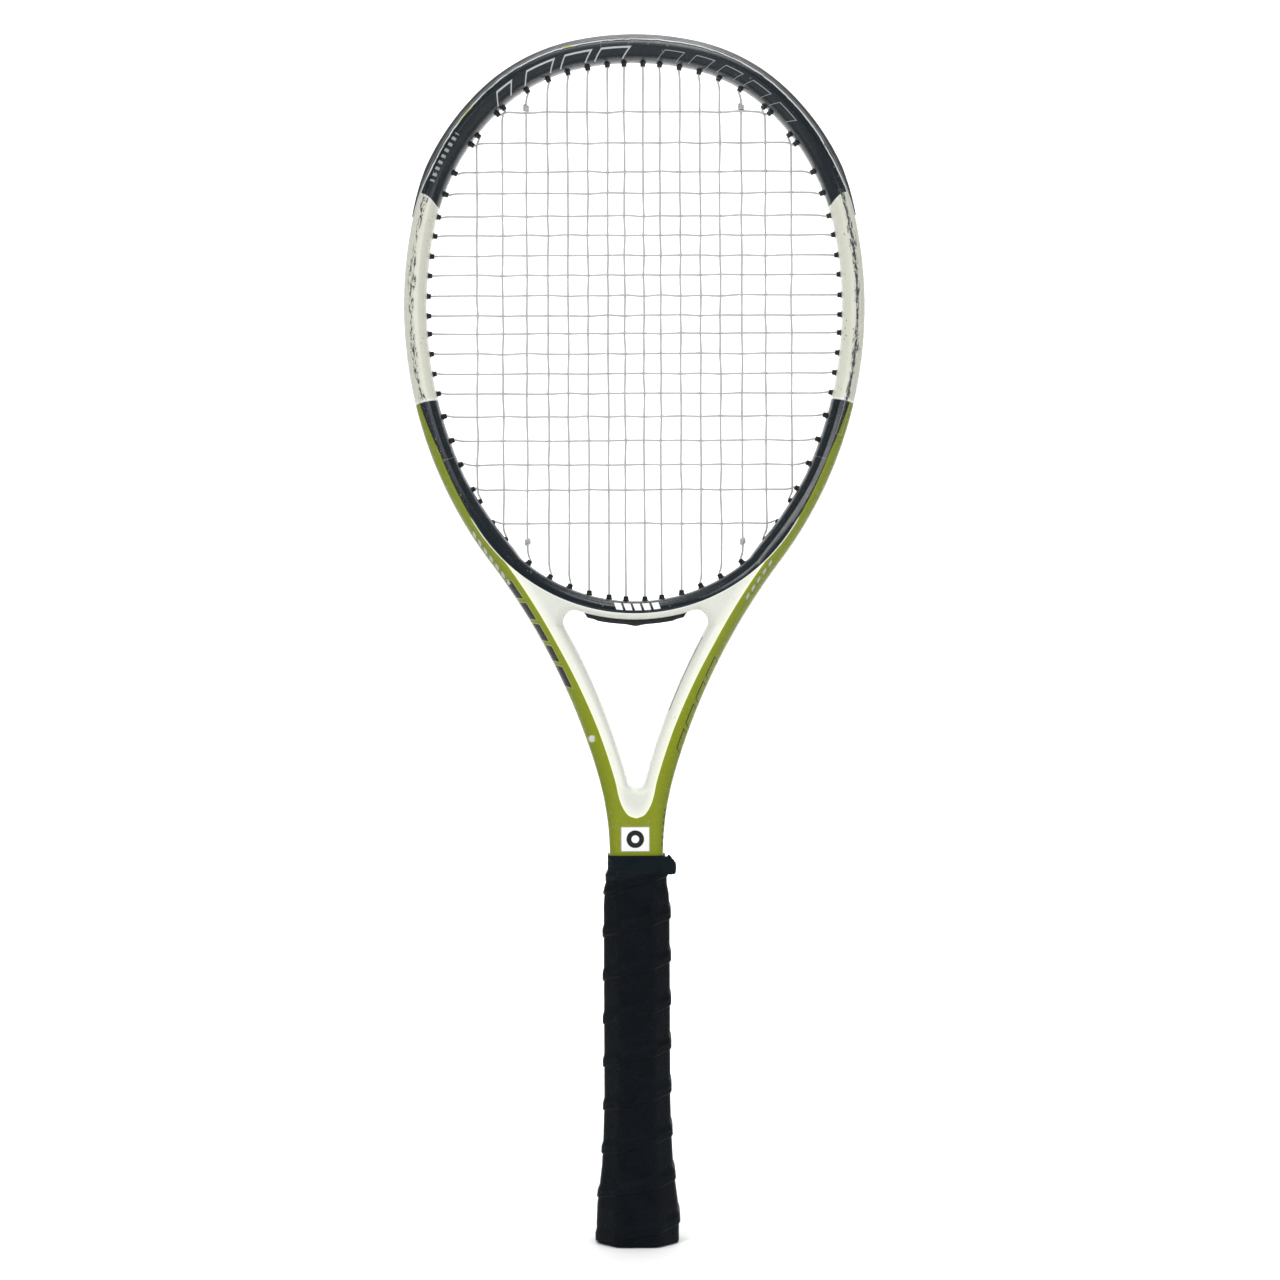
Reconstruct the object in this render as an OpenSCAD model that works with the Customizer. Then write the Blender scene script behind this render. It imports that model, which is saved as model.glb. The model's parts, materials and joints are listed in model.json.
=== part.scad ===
// Tennis racket: hollow carbon frame, strung 16 by 19, with grommets, bumper and a wrapped handle.
// The racket stands upright on its butt: +Z runs up the handle to the head, X goes across the
// head, and the playing face looks along -Y. The origin is the middle of the butt end.

/* [Overall] */
// Length from the butt end to the top of the bumper guard
racket_len = 685.8; // [682:0.1:690]

/* [Frame] */
// In-plane width of the beam around the head
beam_w = 12.8; // [12:0.1:13.6]
// In-plane width of each throat arm
arm_w = 15.3; // [14.5:0.1:15.6]
// Depth of the beam from front to back around the head
beam_d = 25; // [23:0.5:26]
// Wall of the hollow carbon tube
tube_wall = 1.5; // [1.2:0.1:1.8]
// Depth of the string groove around the outside
groove_depth = 3; // [2.8:0.1:3.2]
// Thickness of the throat bridge in the plane of the strings
bridge_t = 10.5; // [9:0.5:12]

/* [Strings] */
// Diameter of the strings
string_d = 1.3; // [1.2:0.05:1.35]
// Height where the lowest cross string is
first_cross_z = 408; // [406:0.5:409]

/* [Grommets] */
// Outer diameter of a grommet barrel
barrel_d = 3.2; // [3:0.1:3.6]
// How far a barrel stands out inside the head
barrel_out = 2.6; // [2:0.1:3]

/* [Handle] */
// Width of the bare handle across the front
pallet_w = 33; // [32:0.1:34]
// Depth of the bare handle from front to back
pallet_d = 28.2; // [27.5:0.1:29]
// Thickness of the cushioned base grip
grip_t = 1.8; // [1.4:0.1:2]
// Thickness of the overgrip
overgrip_t = 0.6; // [0.5:0.05:0.7]

/* [Hidden] */
$fn = 32;

// ---- outline of the frame -------------------------------------------------------------------
// The outer edge is a chain of tangent arcs from the top of the head down to the shaft. Each arc
// is [radius, angle of the outward normal where it starts, the same where it ends, bend], with
// bend 1 where the edge bulges out and -1 where it is hollow.
bumper_proud = 2;                       // how far the bumper guard stands out past the frame
top_z = racket_len - bumper_proud;
shaft_x = arm_w;                        // half width of the shaft
side_angle = 37;                        // how far past the widest point the side arc runs
neck_angle = 16.5;
head_arcs = [[163, 90, 77.5, 1], [106.5, 77.5, 46, 1], [140.5, 46, 11.5, 1],
    [241.5, 11.5, -side_angle, 1], [377, -side_angle, -neck_angle, -1]];
SIDE = 3;                               // which arc is the long side of the head
ARM = 4;                                // which arc is the throat arm

function dir(a) = [cos(a), sin(a)];
function chain_start(arcs, i) = i == 0 ? [0, top_z]
    : let (a = arcs[i - 1]) chain_start(arcs, i - 1) + a[3] * a[0] * (dir(a[2]) - dir(a[1]));
neck_start = chain_start(head_arcs, len(head_arcs));
neck_r = (neck_start.x - shaft_x) / (1 - cos(neck_angle));
arcs = concat(head_arcs, [[neck_r, -neck_angle, 0, -1]]);
centres = [for (i = [0 : len(arcs) - 1])
    chain_start(arcs, i) - arcs[i][3] * arcs[i][0] * dir(arcs[i][1])];

// A place on the edge is q: how far its normal has turned from the top, in degrees. The normal
// turns down the side of the head first, and back again along the throat arm.
q_turn = 90 + side_angle;
q_end = q_turn + side_angle;
function angle_of(q) = q <= q_turn ? 90 - q : q - q_turn - side_angle;
function arc_of(q) = q <= q_turn
    ? [for (i = [0 : SIDE]) if (90 - q >= arcs[i][2] - 1e-6) i][0]
    : (q - q_turn - side_angle <= -neck_angle ? ARM : ARM + 1);
// The point at place q on the right side, u outward from the edge and y back from the middle
function at(q, u, y) = let (i = arc_of(q), n = dir(angle_of(q)),
    p = centres[i] + (arcs[i][3] * arcs[i][0] + u) * n) [p.x, y, p.y];

// ---- cross-section of the beam --------------------------------------------------------------
function mix(a, b, t) = a + (b - a) * t;
function ramp(v, lo, hi) = min(1, max(0, (v - lo) / (hi - lo)));
arm_from = q_turn - 12;                 // the beam widens from here into the throat arm
groove_end = q_turn + 12;               // the string groove runs out past here
groove_fade = 5;
leg_w = arm_w - 0.4;                    // the two legs stand just clear of each other
leg_d = 21;
function width_at(q) = q < q_turn ? mix(beam_w, arm_w, ramp(q, arm_from, q_turn))
    : mix(arm_w, leg_w, ramp(q, q_turn, q_end));
function depth_at(q) = mix(beam_d, leg_d, ramp(q, q_turn + 8, q_end));
function groove_at(q) = groove_depth * (1 - ramp(q, groove_end, groove_end + groove_fade));
function leg_like(q) = ramp(q, q_turn + 10, q_end);

// Half outlines as [share of the width inward, share of the half depth], groove side first. The
// head's beam has a crisp ridge on the front and the back, and the leg is a rounded box.
head_half = [[0, .27], [.015, .35], [.07, .61], [.23, .85], [.47, 1], [.72, .87], [.91, .64],
    [1, .34]];
leg_half = [[0, .27], [0, .4], [0, .68], [.04, .9], [.14, 1], [.86, 1], [.96, .9], [1, .34]];
head_bore = [[.24, .2], [.27, .36], [.19, .58], [.3, .78], [.47, .86], [.65, .77], [.79, .62],
    [.88, .3]];
leg_bore = [[.1, .2], [.1, .36], [.1, .58], [.13, .78], [.22, .86], [.78, .86], [.87, .78],
    [.9, .3]];
wall_scale = tube_wall / 1.5;           // the bores above are drawn for a 1.5 mm wall
function both_halves(h) = concat(h, [for (i = [len(h) - 1 : -1 : 0]) [h[i].x, -h[i].y]]);
function shrink(h, k) = [for (p = h) [mix(.5, p.x, 1 / k), p.y / k]];
// The groove takes the first point, and its mirror image, inward
function beam_outline(q) = let (t = leg_like(q), w = width_at(q), d = depth_at(q) / 2,
    h = both_halves(mix(head_half, leg_half, t)), last = len(h) - 1)
    [for (i = [0 : last]) [-h[i].x * w - (i == 0 || i == last ? groove_at(q) : 0), h[i].y * d]];
function beam_bore(q) = let (t = leg_like(q), w = width_at(q), d = depth_at(q) / 2,
    g = groove_at(q) / groove_depth,
    h = both_halves(shrink(mix(mix(leg_bore, head_bore, g), leg_bore, t), wall_scale)))
    [for (p = h) [-p.x * w, p.y * d]];

// ---- sweeps ---------------------------------------------------------------------------------
function ring_at(q, outline) = [for (p = outline) at(q, p.x, p.y)];
function mirror_ring(ring) = [for (p = ring) [-p.x, p.y, p.z]];
function flat(lists) = [for (l = lists) each l];
// Faces of the wall between rings of m points, the rings lying stride points apart
function wall_faces(rings, m, stride, first, inward) = [for (k = [0 : rings - 2], j = [0 : m - 1])
    let (a = first + k * stride + j, b = first + k * stride + (j + 1) % m,
        face = [a, b, b + stride, a + stride]) inward ? [face[3], face[2], face[1], face[0]] : face];
// A closed mesh whose faces are all turned outward
function reversed(v) = [for (i = [len(v) - 1 : -1 : 0]) v[i]];
function six_volume(points, faces) = let (v = [for (f = faces, k = [1 : len(f) - 2])
    cross(points[f[0]], points[f[k]]) * points[f[k + 1]]]) v * [for (x = v) 1];
module closed_mesh(points, faces) {
    inside_out = six_volume(points, faces) > 0;
    polyhedron(points, inside_out ? [for (f = faces) reversed(f)] : faces, convexity = 10);
}
// A solid swept through rings of points, closed with flat ends
module swept(rings) {
    m = len(rings[0]);
    n = len(rings);
    start = [for (j = [m - 1 : -1 : 0]) j];
    end = [for (j = [0 : m - 1]) (n - 1) * m + j];
    closed_mesh(flat(rings), concat(wall_faces(n, m, m, 0, false), [start], [end]));
}
// A tube swept through outer and inner rings, open at both ends
module swept_tube(outer, inner) {
    m = len(outer[0]);
    n = len(outer);
    last = (n - 1) * 2 * m;
    points = flat([for (k = [0 : n - 1]) concat(outer[k], inner[k])]);
    start = [for (j = [0 : m - 1]) let (i = (j + 1) % m) [j, m + j, m + i, i]];
    end = [for (j = [0 : m - 1]) let (i = (j + 1) % m)
        [last + j, last + i, last + m + i, last + m + j]];
    closed_mesh(points, concat(wall_faces(n, m, 2 * m, 0, false),
        wall_faces(n, m, 2 * m, m, true), start, end));
}
// Places from one q to another about step millimetres apart along the edge
function places(q1, q2, step) = let (n = max(1, round(edge_len(q1, q2) / step)))
    [for (k = [0 : n]) mix(q1, q2, k / n)];
function edge_len(q1, q2) = let (n = 24) [for (k = [0 : n - 1])
    norm(at(mix(q1, q2, (k + 1) / n), 0, 0) - at(mix(q1, q2, k / n), 0, 0))] * [for (k = [1 : n]) 1];

// ---- frame ----------------------------------------------------------------------------------
leg_bottom_z = 24;
ring_step = 13;
function arc_places(i) = let (a = arcs[i], n = ceil(a[0] * abs(a[2] - a[1]) * PI / 180 / ring_step),
    q1 = i <= SIDE ? 90 - a[1] : q_turn + side_angle + a[1],
    q2 = i <= SIDE ? 90 - a[2] : q_turn + side_angle + a[2])
    [for (k = [0 : n - 1]) mix(q1, q2, k / n)];
side_places = concat(flat([for (i = [0 : len(arcs) - 1]) arc_places(i)]), [q_end]);
// Inside the handle the leg is slimmer, so that the foam covers it all round
leg_share = .84;
leg_flare_z = 202;                      // the leg grows to its full size from here
function slim(outline) = [for (p = outline) [mix(-leg_w / 2, p.x, leg_share), p.y * leg_share]];
function leg_ring(outline, z) = [for (p = ring_at(q_end, slim(outline))) [p.x, p.y, z]];
function right_rings(bore) = concat(
    [for (z = [leg_bottom_z, leg_flare_z]) leg_ring(bore ? beam_bore(q_end) : beam_outline(q_end), z)],
    [for (k = [len(side_places) - 1 : -1 : 0]) let (q = side_places[k])
        ring_at(q, bore ? beam_bore(q) : beam_outline(q))]);
function all_rings(right) = concat(right,
    [for (k = [len(right) - 2 : -1 : 0]) mirror_ring(right[k])]);

// The round bottom of the throat opening touches the inner edges of both arms
web_tip_z = 257.5;
neck_c = centres[len(arcs) - 1];
web_tip_h = web_tip_z - neck_c.y;
web_tip_r = web_tip_h * web_tip_h / (2 * (neck_r + arm_w - web_tip_h));
web_bottom_z = 214;
web_bottom_w = 2.8;
web_top_w = 11.8;
web_d = 17;
// Web that joins the two arms under the throat opening
module throat_web() {
    tip_c = web_tip_z + web_tip_r;
    touch_a = atan2(neck_c.y - tip_c, neck_c.x);
    touch = [0, tip_c] + web_tip_r * dir(touch_a);
    rotate([90, 0, 0]) linear_extrude(web_d, center = true) difference() {
        polygon([[-web_bottom_w / 2, web_bottom_z], [web_bottom_w / 2, web_bottom_z],
            [web_top_w / 2, touch.y], [-web_top_w / 2, touch.y]]);
        translate([0, tip_c]) circle(r = web_tip_r, $fn = 48);
    }
}

module frame() {
    color("yellowgreen") difference() {
        union() {
            swept_tube(all_rings(right_rings(false)), all_rings(right_rings(true)));
            throat_web();
        }
        all_string_holes(barrel_d + 0.2);
    }
}

// ---- throat bridge --------------------------------------------------------------------------
// The bridge's inner edge is an arc tangent to the inner edge of the head at this normal angle
bridge_angle = -32;
side_c = centres[SIDE];
side_r = arcs[SIDE][0];
bridge_r = side_r - beam_w + side_c.x / cos(bridge_angle);
bridge_z = side_c.y + (side_r - beam_w - bridge_r) * sin(bridge_angle);
function bridge_at(a, u, y) = let (p = [0, bridge_z] + (bridge_r + u) * dir(a)) [p.x, y, p.y];
// Half outline as [share of the thickness, share of the half depth], from the string side
bridge_half = [[0, .3], [.1, .64], [.32, .86], [.55, .92], [.8, .84], [1, .55]];
bridge_side_angle = 40;                 // how far the bridge reaches each way from its middle
function bridge_ring(a) = let (h = both_halves(bridge_half))
    [for (p = h) bridge_at(a, p.x * bridge_t, p.y * beam_d / 2)];
// Each top corner of the throat opening is rounded by a circle that touches the bridge's lower
// edge, about the bridge's centre, and the arm's inner edge, about the arm's centre
corner_r = 5;
bridge_c = [0, bridge_z];
lower_r = bridge_r + bridge_t;
arm_c = centres[ARM];
arm_inner_r = arcs[ARM][0] + arm_w;
// The lower left of the two points at distance r from c and distance s from d
function meeting(c, r, d, s) = let (m = d - c, l = norm(m), x = (l * l + r * r - s * s) / (2 * l),
    y = sqrt(r * r - x * x), e = m / l) c + x * e + y * [e.y, -e.x];
function toward(a, b) = (b - a) / norm(b - a);
corner_c = meeting(bridge_c, lower_r + corner_r, arm_c, arm_inner_r + corner_r);
corner_depth = .84 * beam_d;
module corner_fillet() {
    on_bridge = corner_c - corner_r * toward(bridge_c, corner_c);
    on_arm = corner_c - corner_r * toward(arm_c, corner_c);
    root = 4;
    rotate([90, 0, 0]) linear_extrude(corner_depth, center = true) difference() {
        polygon([on_bridge, on_arm, on_arm - root * toward(arm_c, corner_c),
            corner_c + 3.2 * root * toward(corner_c, (on_bridge + on_arm) / 2),
            on_bridge - root * toward(bridge_c, corner_c)]);
        translate(corner_c) circle(r = corner_r, $fn = 48);
    }
}

module throat_bridge() {
    color("whitesmoke") difference() {
        union() {
            swept([for (a = [-90 - bridge_side_angle : 5 : -90 + bridge_side_angle]) bridge_ring(a)]);
            corner_fillet();
            mirror([1, 0, 0]) corner_fillet();
        }
        bridge_cutter();
        mirror([1, 0, 0]) bridge_cutter();
        all_string_holes(barrel_d + 0.2);
    }
}
// The stretch of the frame's outer shape that the bridge's end is moulded onto
module bridge_cutter() {
    around = [for (q = side_places) if (abs(q - q_turn) < 20) q];
    swept([for (q = reversed(around)) ring_at(q, beam_outline(q))]);
}

// ---- string pattern -------------------------------------------------------------------------
main_gaps = [5.4, 9.6, 11.3, 11.4, 11.3, 12.2, 13.6, 14.7];     // out from the middle
cross_gaps = [0, 19.1, 14.3, 13.7, 13.8, 13, 11.3, 11.4, 11.5, 10.3, 11.3, 11.7, 11.1, 11.6,
    10.9, 13, 12.2, 16.4, 17.6];                                // up from the lowest cross
function sum_to(v, i) = i < 0 ? 0 : v[i] + sum_to(v, i - 1);
mains = len(main_gaps);
crosses = len(cross_gaps);
function main_x(i) = sum_to(main_gaps, i);
function cross_z(i) = first_cross_z + sum_to(cross_gaps, i);

// A hole is [point on the inner edge, angle, length to the groove floor, place in the groove].
strip_t = 0.9;
floor_u = -(groove_depth - strip_t);    // groove floor on top of the grommet strip
inner_r = side_r - beam_w;
function head_hole(q) = let (p = at(q, -beam_w, 0)) [[p.x, p.z], angle_of(q), beam_w + floor_u, q];
// Distance along a line from point p in direction a to a circle, the near or the far crossing
function to_circle(p, a, c, r, far) = let (m = p - c, b = m * dir(a), k = m * m - r * r,
    s = b * b - k) s < 0 ? 1e9 : -b + (far ? 1 : -1) * sqrt(s);
// A hole from the bridge's inner edge through to the groove on the outside of the arm
function arm_hole(a) = let (p = [0, bridge_z] + bridge_r * dir(a),
    to_side = to_circle(p, a, side_c, side_r + floor_u, true), on_side = p + to_side * dir(a) - side_c,
    side_q = 90 - atan2(on_side.y, on_side.x),
    to_arm = to_circle(p, a, centres[ARM], arcs[ARM][0] - floor_u, false),
    on_arm = centres[ARM] - p - to_arm * dir(a),
    arm_q = q_turn + side_angle + atan2(on_arm.y, on_arm.x))
    side_q <= q_turn ? [p, a, to_side, side_q] : [p, a, to_arm, arm_q];
function head_q_at_x(x) = [for (i = [0 : SIDE]) let (c = (x - centres[i].x) / (arcs[i][0] - beam_w),
    a = abs(c) > 1 ? 999 : acos(c)) if (a <= arcs[i][1] + 1e-6 && a >= max(arcs[i][2], 0)) 90 - a][0];
function head_q_at_z(z) = [for (i = [0 : SIDE]) let (s = (z - centres[i].y) / (arcs[i][0] - beam_w),
    a = abs(s) > 1 ? 999 : asin(s)) if (a <= arcs[i][1] + 1e-6 && a >= arcs[i][2]) 90 - a][0];
throat_mains = 3;                       // mains that come out in the throat opening, each side
bridge_floor_t = 1;                     // floor of the throat strip under the bridge
bridge_floor_r = bridge_r + bridge_t + bridge_floor_t;
function main_top_hole(i) = head_hole(head_q_at_x(main_x(i)));
function main_bottom_hole(i) = let (a = -acos((main_x(i) - side_c.x) / inner_r),
    b = -acos(min(1, main_x(i) / bridge_r)))
    a > bridge_angle ? head_hole(90 - a)
    : i >= throat_mains ? arm_hole(b)
    : let (p = bridge_c + bridge_r * dir(b))
        [p, -90, to_circle(p, -90, bridge_c, bridge_floor_r, true), -acos(main_x(i) / bridge_floor_r)];
function cross_hole(i) = let (q = head_q_at_z(cross_z(i)))
    90 - q > bridge_angle ? head_hole(q) : arm_hole(asin((cross_z(i) - bridge_z) / bridge_r));

top_holes = [for (i = [0 : mains - 1]) main_top_hole(i)];
bottom_holes = [for (i = [0 : mains - 1]) main_bottom_hole(i)];
cross_holes = [for (i = [0 : crosses - 1]) cross_hole(i)];
bridge_holes = [for (i = [0 : throat_mains - 1]) bottom_holes[i]];
strip_holes = concat([for (i = [throat_mains : mains - 1]) bottom_holes[i]], top_holes, cross_holes);

// A round bar along a hole, from a point before the inner edge to a point past the floor
module along(hole, before, past, d) {
    start = hole[0] - before * dir(hole[1]);
    translate([start.x, 0, start.y]) rotate([0, 90 - hole[1], 0])
        cylinder(h = before + hole[2] + past, d = d);
}
module all_string_holes(d) {
    for (side = [0, 1], hole = concat(strip_holes, bridge_holes))
        mirror([side, 0, 0]) along(hole, 6, 2, d);
}

// ---- bumper guard and grommet strips --------------------------------------------------------
bumper_q = 77.7;                        // where the bumper guard ends on each side
bumper_taper = 12;                      // degrees over which it runs out
fit = 0.05;
strip_w = 6.4;
strip_end_q = groove_end - 1;
bore_d = 1.9;
// The guard sits in the groove, wraps both lips and leaves a channel for the strings
function guard_outline(q) = let (t = ramp(bumper_q - abs(q), 0, bumper_taper), d = beam_d / 2,
    w = beam_w, edge = mix(head_half[2], head_half[3], mix(.15, 1, t)),
    under = [[-groove_depth + fit, strip_w / 2], [-head_half[1].x * w + fit, head_half[1].y * d],
        [-head_half[2].x * w + fit, head_half[2].y * d + fit], [-edge.x * w, edge.y * d + 2 * fit]],
    over = [[-edge.x * w * .6 + fit, edge.y * d + mix(.3, .7, t)],
        [mix(.4, bumper_proud, t), mix(4.8, 5.6, t)], [mix(.3, bumper_proud - .2, t), 3.4],
        [floor_u, 2.4]],
    half = concat(under, over))
    concat(half, [for (i = [len(half) - 1 : -1 : 0]) [half[i].x, -half[i].y]]);
function strip_outline() = [[-groove_depth + fit, strip_w / 2], [floor_u, strip_w / 2],
    [floor_u, -strip_w / 2], [-groove_depth + fit, -strip_w / 2]];

module barrels(holes) {
    for (hole = holes) along(hole, barrel_out, -strip_t / 2, barrel_d);
}
module bores(holes) {
    for (hole = holes) along(hole, barrel_out + 1, 3, bore_d);
}
guard_holes = [for (h = strip_holes) if (h[3] < bumper_q - 1) h];
lower_holes = [for (h = strip_holes) if (h[3] >= bumper_q - 1) h];

module bumper_guard() {
    last_q = bumper_q - .3;
    right = [for (q = concat([for (q = side_places) if (q < last_q - 1) q], [last_q]))
        ring_at(q, guard_outline(q))];
    rings = concat([for (k = [len(right) - 1 : -1 : 0]) right[k]],
        [for (k = [1 : len(right) - 1]) mirror_ring(right[k])]);
    color("dimgray") difference() {
        union() {
            swept(rings);
            for (side = [0, 1]) mirror([side, 0, 0]) barrels(guard_holes);
        }
        for (side = [0, 1]) mirror([side, 0, 0]) bores(guard_holes);
    }
}
module grommet_strip() {
    difference() {
        union() {
            swept([for (q = reversed(concat([bumper_q], [for (q = side_places)
                if (q > bumper_q + 1 && q < strip_end_q - 1) q], [strip_end_q])))
                ring_at(q, strip_outline())]);
            barrels(lower_holes);
        }
        bores(lower_holes);
    }
}
module grommet_strip_right() {
    color("black") grommet_strip();
}
module grommet_strip_left() {
    color("black") mirror([1, 0, 0]) grommet_strip();
}

// The throat strip lies under the bridge: a floor with two rails that guard the string loops
throat_strip_half = 15.5;               // half its spread, in degrees about the bridge's centre
rail_h = 3.4;
rail_fade = 2.2;                        // degrees over which the rails run out
function throat_outline(a) = let (t = ramp(throat_strip_half - abs(a + 90), 0, rail_fade),
    r = bridge_t + mix(bridge_floor_t + .4, rail_h, t), f = bridge_t + bridge_floor_t)
    [[bridge_t + fit, 5.6], [r, 5], [r, 3], [f, 2.4], [f, -2.4], [r, -3], [r, -5], [bridge_t + fit, -5.6]];
module throat_grommet_strip() {
    n = 16;
    rings = [for (k = [0 : n]) let (a = -90 + throat_strip_half * (2 * k / n - 1))
        [for (p = throat_outline(a)) bridge_at(a, p.x, p.y)]];
    color("black") {
        difference() {
            swept(rings);
            for (side = [0, 1]) mirror([side, 0, 0]) bores(bridge_holes);
        }
        for (side = [0, 1]) mirror([side, 0, 0]) for (hole = bridge_holes) difference() {
            along(hole, barrel_out, -bridge_floor_t / 2, barrel_d);
            along(hole, barrel_out + 1, 1, bore_d);
        }
    }
}

// ---- strings --------------------------------------------------------------------------------
string_sides = 6;
lane = 1;                               // mains keep to the front of the groove, crosses to the back
weave = string_d + .14;                 // how far the crosses rise over the mains
bore_slack = .25;                       // how far a string may sit off the middle of its bore
string_u = floor_u + string_d / 2 + .35;
function tip(hole, side, y = 0) = let (p = hole[0] - (barrel_out + .8) * dir(hole[1]))
    [side * p.x, y, p.y];
function mouth(hole, side) = let (p = hole[0] + (hole[2] + .45) * dir(hole[1])) [side * p.x, 0, p.y];
// The stretch of a string along the groove between two holes
loop_step = 12;
function groove_run(q1, q2, side, y) = let (gap = q2 > q1 ? .9 : -.9)
    [for (q = places(q1 + gap, q2 - gap, loop_step)) let (p = at(q, string_u, y))
        [side * p.x, p.y, p.z]];
bridge_string_u = bridge_t + bridge_floor_t + string_d / 2 + .35;
function bridge_run(a1, a2, y) = [for (k = [.12, 1.12, 2.12])
    bridge_at(mix(a1, a2, k / 2.24), bridge_string_u, y)];
function mirror_points(v, side) = [for (p = v) [side * p.x, p.y, p.z]];

// Rings of a string along its points, each ring square to the string's mean direction
function string_rings(path) = let (n = len(path)) [for (i = [0 : n - 1])
    let (t = path[min(n - 1, i + 1)] - path[max(0, i - 1)], tn = t / norm(t),
        b0 = cross(tn, [0, 1, 0]), b = b0 / norm(b0), c = cross(tn, b))
    [for (j = [0 : string_sides - 1]) let (a = (j + .5) * 360 / string_sides)
        path[i] + string_d / 2 * (cos(a) * b + sin(a) * c)]];

// One main from its bottom mouth to its top mouth
function main_run(i, side) = let (x = side * main_x(i), b = bottom_holes[i], t = top_holes[i],
    bt = tip(b, side), tt = tip(t, side))
    [mouth(b, side), bt, [x, 0, bt.z + 7], [x, 0, tt.z - 5], tt, mouth(t, side)];
function top_loop(i, j, side) = groove_run(top_holes[i][3], top_holes[j][3], side, -lane);
function bottom_loop(i, j, side) = i < throat_mains
    ? mirror_points(bridge_run(bottom_holes[i][3], bottom_holes[j][3], -lane), side)
    : groove_run(bottom_holes[i][3], bottom_holes[j][3], side, -lane);
// The right half, from the middle outwards: up main 0, over to 1, down it, over to 2, and so on
function main_half(i) = i == mains - 1
    ? reversed(main_run(i, 1))
    : i % 2 == 0 ? concat(main_run(i, 1), top_loop(i, i + 1, 1), main_half(i + 1))
    : concat(reversed(main_run(i, 1)), bottom_loop(i, i + 1, 1), main_half(i + 1));
tail_q = 4;                             // how far a tied end runs on along the groove
main_tail = groove_run(bottom_holes[mains - 1][3], bottom_holes[mains - 1][3] + tail_q, 1, -lane);
module main_string() {
    half = concat(main_half(0), main_tail);
    middle = mirror_points(bridge_run(-180 - bottom_holes[0][3], bottom_holes[0][3], -lane), 1);
    path = concat(mirror_points(reversed(half), -1), middle, half);
    color("gainsboro") swept(string_rings(path));
}

// One cross from its left mouth to its right mouth, over and under the mains in turn
function cross_run(i) = let (h = cross_holes[i], t = tip(h, 1), z = cross_z(i),
    xs = [for (m = [0 : mains - 1]) if (main_x(m) < t.x - 1.5) main_x(m)], n = len(xs),
    over = [for (k = [0 : 2 * n - 1]) let (x = k < n ? -xs[n - 1 - k] : xs[k - n],
        m = k < n ? n - 1 - k : k - n, s = (m + i + (k < n ? 1 : 0)) % 2 == 0 ? 1 : -1)
        [x, s * weave, z]])
    concat([mouth(h, -1), tip(h, -1, sign(over[0].y) * bore_slack)], over,
        [tip(h, 1, sign(over[2 * n - 1].y) * bore_slack), mouth(h, 1)]);
function cross_path(i) = let (side = i % 2 == 0 ? 1 : -1,
    run = side > 0 ? cross_run(i) : reversed(cross_run(i)))
    i == crosses - 1 ? run
    : concat(run, groove_run(cross_holes[i][3], cross_holes[i + 1][3], side, lane), cross_path(i + 1));
module cross_string() {
    first_q = cross_holes[0][3];
    last_q = cross_holes[crosses - 1][3];
    path = concat(groove_run(first_q + tail_q, first_q, -1, lane), cross_path(0),
        groove_run(last_q, last_q - tail_q, 1, lane));
    color("white") swept(string_rings(path));
}

// Knots where the four string ends are tied off around a main, close to its barrel
knot_d = 3.6;
knot_h = 3.4;
knot_main = 5;                          // the main that the ends are tied around
module knot_at(x, z) {
    t = (knot_d - string_d) / 2;
    translate([x, 0, z]) rotate_extrude() translate([string_d / 2 + 2 * fit, 0]) difference() {
        translate([0, -knot_h / 2]) square([t, knot_h]);
        for (s = [-1, 1]) translate([t + .2, s * knot_h / 2]) circle(d = 1, $fn = 16);
    }
}
module string_knots() {
    x = main_x(knot_main);
    low_z = tip(bottom_holes[knot_main], 1).z + 10;
    high_z = tip(top_holes[knot_main], 1).z - 8;
    color("white") for (side = [-1, 1], z = [low_z, high_z]) knot_at(side * x, z);
}

// ---- handle ---------------------------------------------------------------------------------
// The bare handle as [height, half width, half depth, corner cut]: flared at the butt, straight
// along the grip and down to the shaft's size above it.
cut = 8.3;
handle_profile = [[0, 21, 18.4, 10.6], [11, 21.1, 18.5, 10.6], [21, 20.7, 18.1, 10.3],
    [32, 19.3, 16.8, 9.4], [43, 18, 15.5, 8.9], [58, 17.2, 14.7, 8.5],
    [80, pallet_w / 2, pallet_d / 2, cut], [190, pallet_w / 2, pallet_d / 2, cut],
    [202, shaft_x + .4, 12.2, 6], [224, shaft_x + .1, leg_d / 2 + .4, 1.6]];
function profile_at(z) = let (p = handle_profile, n = len(p) - 1,
    k = [for (i = [0 : n - 1]) if (z <= p[i + 1][0]) i][0]) mix(p[k], p[k + 1],
    (z - p[k][0]) / (p[k + 1][0] - p[k][0]));
// Eight-sided ring at height z, standing off the bare handle
function handle_ring(z, off) = let (p = profile_at(z), x = p[1] + off, y = p[2] + off,
    c = p[3] + off * (2 - sqrt(2))) [[x, y - c, z], [x - c, y, z], [c - x, y, z], [-x, y - c, z],
    [-x, c - y, z], [c - x, -y, z], [x - c, -y, z], [x, c - y, z]];
// A sleeve around the handle through stations of [height, inner stand-off, outer stand-off]
module sleeve(stations) {
    swept_tube([for (s = stations) handle_ring(s[0], s[2])],
        [for (s = stations) handle_ring(s[0], s[1])]);
}
// Heights from z1 to z2 with those of the handle's profile between them
function heights(z1, z2) = concat([z1],
    [for (p = handle_profile) if (p[0] > z1 + 1 && p[0] < z2 - 1) p[0]], [z2]);

cap_wall = 1.9;
cap_top_z = 27;
cap_floor_t = 3;
foam_bottom_z = 5;
foam_top_z = 201;
leg_gap = 0.1;
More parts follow.
